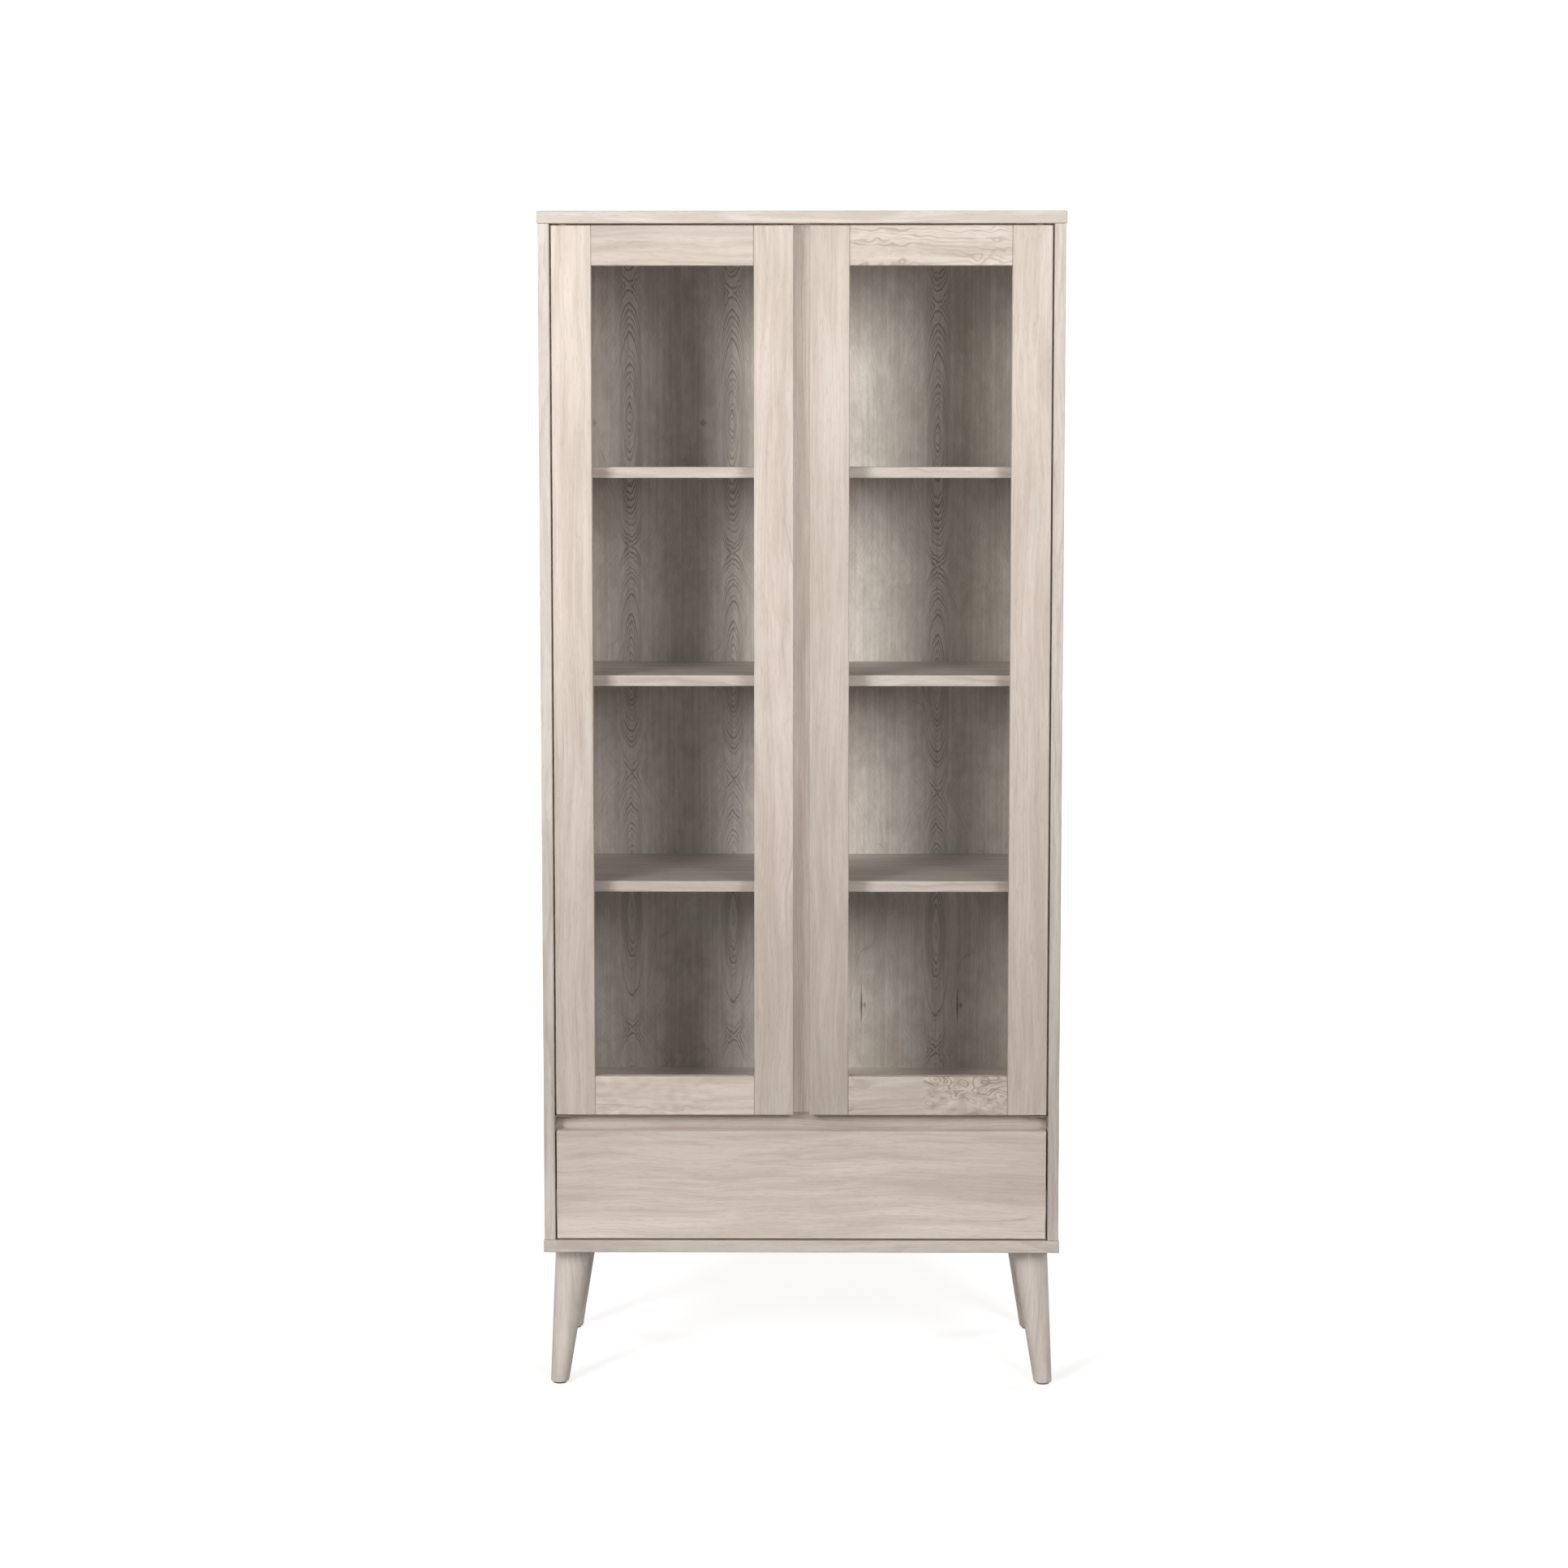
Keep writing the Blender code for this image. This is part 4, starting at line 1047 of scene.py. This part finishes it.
for node, grain in (
    ("drawer_left_side", "y"), ("drawer_right_side", "y"), ("drawer_back", "x"),
    ("drawer_inner_front", "x"), ("drawer_bottom", "x"),
):
    finish_node(node, birch_plywood(node, grain))
for door, slide in (("left_door", 0.4), ("right_door", 1.7)):
    bead = door + "_glass_bead"
    finish_board(bead, "z", across=0.2, behind=0.05, figure=0.2, slide=slide, tint=DOOR_WASH)
print("drawer box and glass beads finished")

# %% [markdown]
# ## Screws along the back
#
# The back panel is held in its rebate by small countersunk screws with a cross recess. They
# repeat at even steps, so a node tree places one head along a line and turns it to face out.

# %% Build the tree that sets a row of screws
HEAD_SIDES = 24
HEAD_TAPER = 0.5
CROSS_LONG, CROSS_WIDE = 1.15, 0.22
SCREW_INPUTS = (
    ("First", "NodeSocketVector"), ("Step", "NodeSocketVector"), ("Count", "NodeSocketInt"),
    ("Facing", "NodeSocketVector"), ("Head radius", "NodeSocketFloat"),
    ("Head depth", "NodeSocketFloat"), ("Seed", "NodeSocketInt"), ("Metal", "NodeSocketMaterial"),
)
screw_tree, given, done = shape_tree("set_a_row_of_screws", SCREW_INPUTS)
radius = given.outputs["Head radius"]
depth = given.outputs["Head depth"]
head = add_node(
    screw_tree, "GeometryNodeMeshCone", {},
    {
        "Vertices": HEAD_SIDES, "Radius Top": radius, "Depth": depth,
        "Radius Bottom": number(screw_tree, "MULTIPLY", radius, HEAD_TAPER),
    },
)
recess = add_node(
    screw_tree, "GeometryNodeMeshBoolean", {"operation": "DIFFERENCE", "solver": "EXACT"},
    {"Mesh 1": head.outputs["Mesh"]},
)
for wide, deep in ((CROSS_LONG, CROSS_WIDE), (CROSS_WIDE, CROSS_LONG)):
    arm = add_node(
        screw_tree, "ShaderNodeCombineXYZ", {},
        {
            "X": number(screw_tree, "MULTIPLY", radius, wide),
            "Y": number(screw_tree, "MULTIPLY", radius, deep), "Z": depth,
        },
    )
    bar = add_node(screw_tree, "GeometryNodeMeshCube", {}, {"Size": arm.outputs["Vector"]})
    lift = add_node(screw_tree, "ShaderNodeCombineXYZ", {}, {"Z": depth})
    raised = add_node(
        screw_tree, "GeometryNodeTransform", {},
        {"Geometry": bar.outputs["Mesh"], "Translation": lift.outputs["Vector"]},
    )
    screw_tree.links.new(raised.outputs["Geometry"], recess.inputs["Mesh 2"])
row = add_node(
    screw_tree, "GeometryNodeMeshLine", {"mode": "OFFSET"},
    {
        "Count": given.outputs["Count"], "Start Location": given.outputs["First"],
        "Offset": given.outputs["Step"],
    },
)
outward = add_node(
    screw_tree, "FunctionNodeAlignRotationToVector", {"axis": "Z"},
    {"Vector": given.outputs["Facing"]},
)
angle = add_node(
    screw_tree, "FunctionNodeRandomValue", {"data_type": "FLOAT"},
    {2: 0.0, 3: math.pi / 2, "Seed": given.outputs["Seed"]},
)
driven = add_node(screw_tree, "FunctionNodeAxisAngleToRotation", {}, {"Angle": angle.outputs[1]})
turned = add_node(
    screw_tree, "FunctionNodeRotateRotation", {"rotation_space": "LOCAL"},
    {"Rotation": outward.outputs["Rotation"], "Rotate By": driven.outputs["Rotation"]},
)
placed = add_node(
    screw_tree, "GeometryNodeInstanceOnPoints", {},
    {
        "Points": row.outputs["Mesh"], "Instance": recess.outputs["Mesh"],
        "Rotation": turned.outputs["Rotation"],
    },
)
finish_shape(screw_tree, placed.outputs["Instances"], given.outputs["Metal"], done)
print("screw tree:", len(screw_tree.nodes), "nodes")

# %% [markdown]
# A row runs down each side and one along the top and the bottom edge. The heads are
# countersunk, so they stand only a quarter of a millimetre off the panel.

# %% Drive the screws into the back
HEAD_RADIUS = 0.0030
HEAD_DEPTH = 0.0016
HEAD_PROUD = 0.00025
EDGE_TO_SCREW = 0.0042
SIDE_GAPS, END_GAPS = 8, 4
panel_low, panel_high = (Vector(corner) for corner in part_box("back_panel"))
screw_level = panel_high.y + HEAD_PROUD - HEAD_DEPTH
side_step = (panel_high.z - panel_low.z - 2 * EDGE_TO_SCREW) / SIDE_GAPS
end_step = (panel_high.x - panel_low.x - 2 * EDGE_TO_SCREW) / END_GAPS
corner_low = Vector((panel_low.x + EDGE_TO_SCREW, screw_level, panel_low.z + EDGE_TO_SCREW))
corner_high = Vector((panel_high.x - EDGE_TO_SCREW, screw_level, panel_high.z - EDGE_TO_SCREW))
right_low = Vector((corner_high.x, screw_level, corner_low.z))
left_high = Vector((corner_low.x, screw_level, corner_high.z))
up = Vector((0.0, 0.0, side_step))
along = Vector((end_step, 0.0, 0.0))
for name, first, step, count, seed in (
    ("back_screws_left", corner_low, up, SIDE_GAPS + 1, 3),
    ("back_screws_right", right_low, up, SIDE_GAPS + 1, 5),
    ("back_screws_top", left_high + along, along, END_GAPS - 1, 7),
    ("back_screws_bottom", corner_low + along, along, END_GAPS - 1, 9),
):
    values = {
        "First": first, "Step": step, "Count": count, "Facing": (0.0, 1.0, 0.0), "Seed": seed,
        "Head radius": HEAD_RADIUS, "Head depth": HEAD_DEPTH, "Metal": zinc,
    }
    screws = grow(name, screw_tree, values, "case")
    print(name, len(screws.data.polygons), "faces")

# %% [markdown]
# ## Write down the sizes
#
# The finished model has to fill the same box as the solids. Both boxes are written side by side.

# %% Print the two boxes
low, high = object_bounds()
print("solids from", solid_low, "to", solid_high)
print("finished from", low, "to", high)
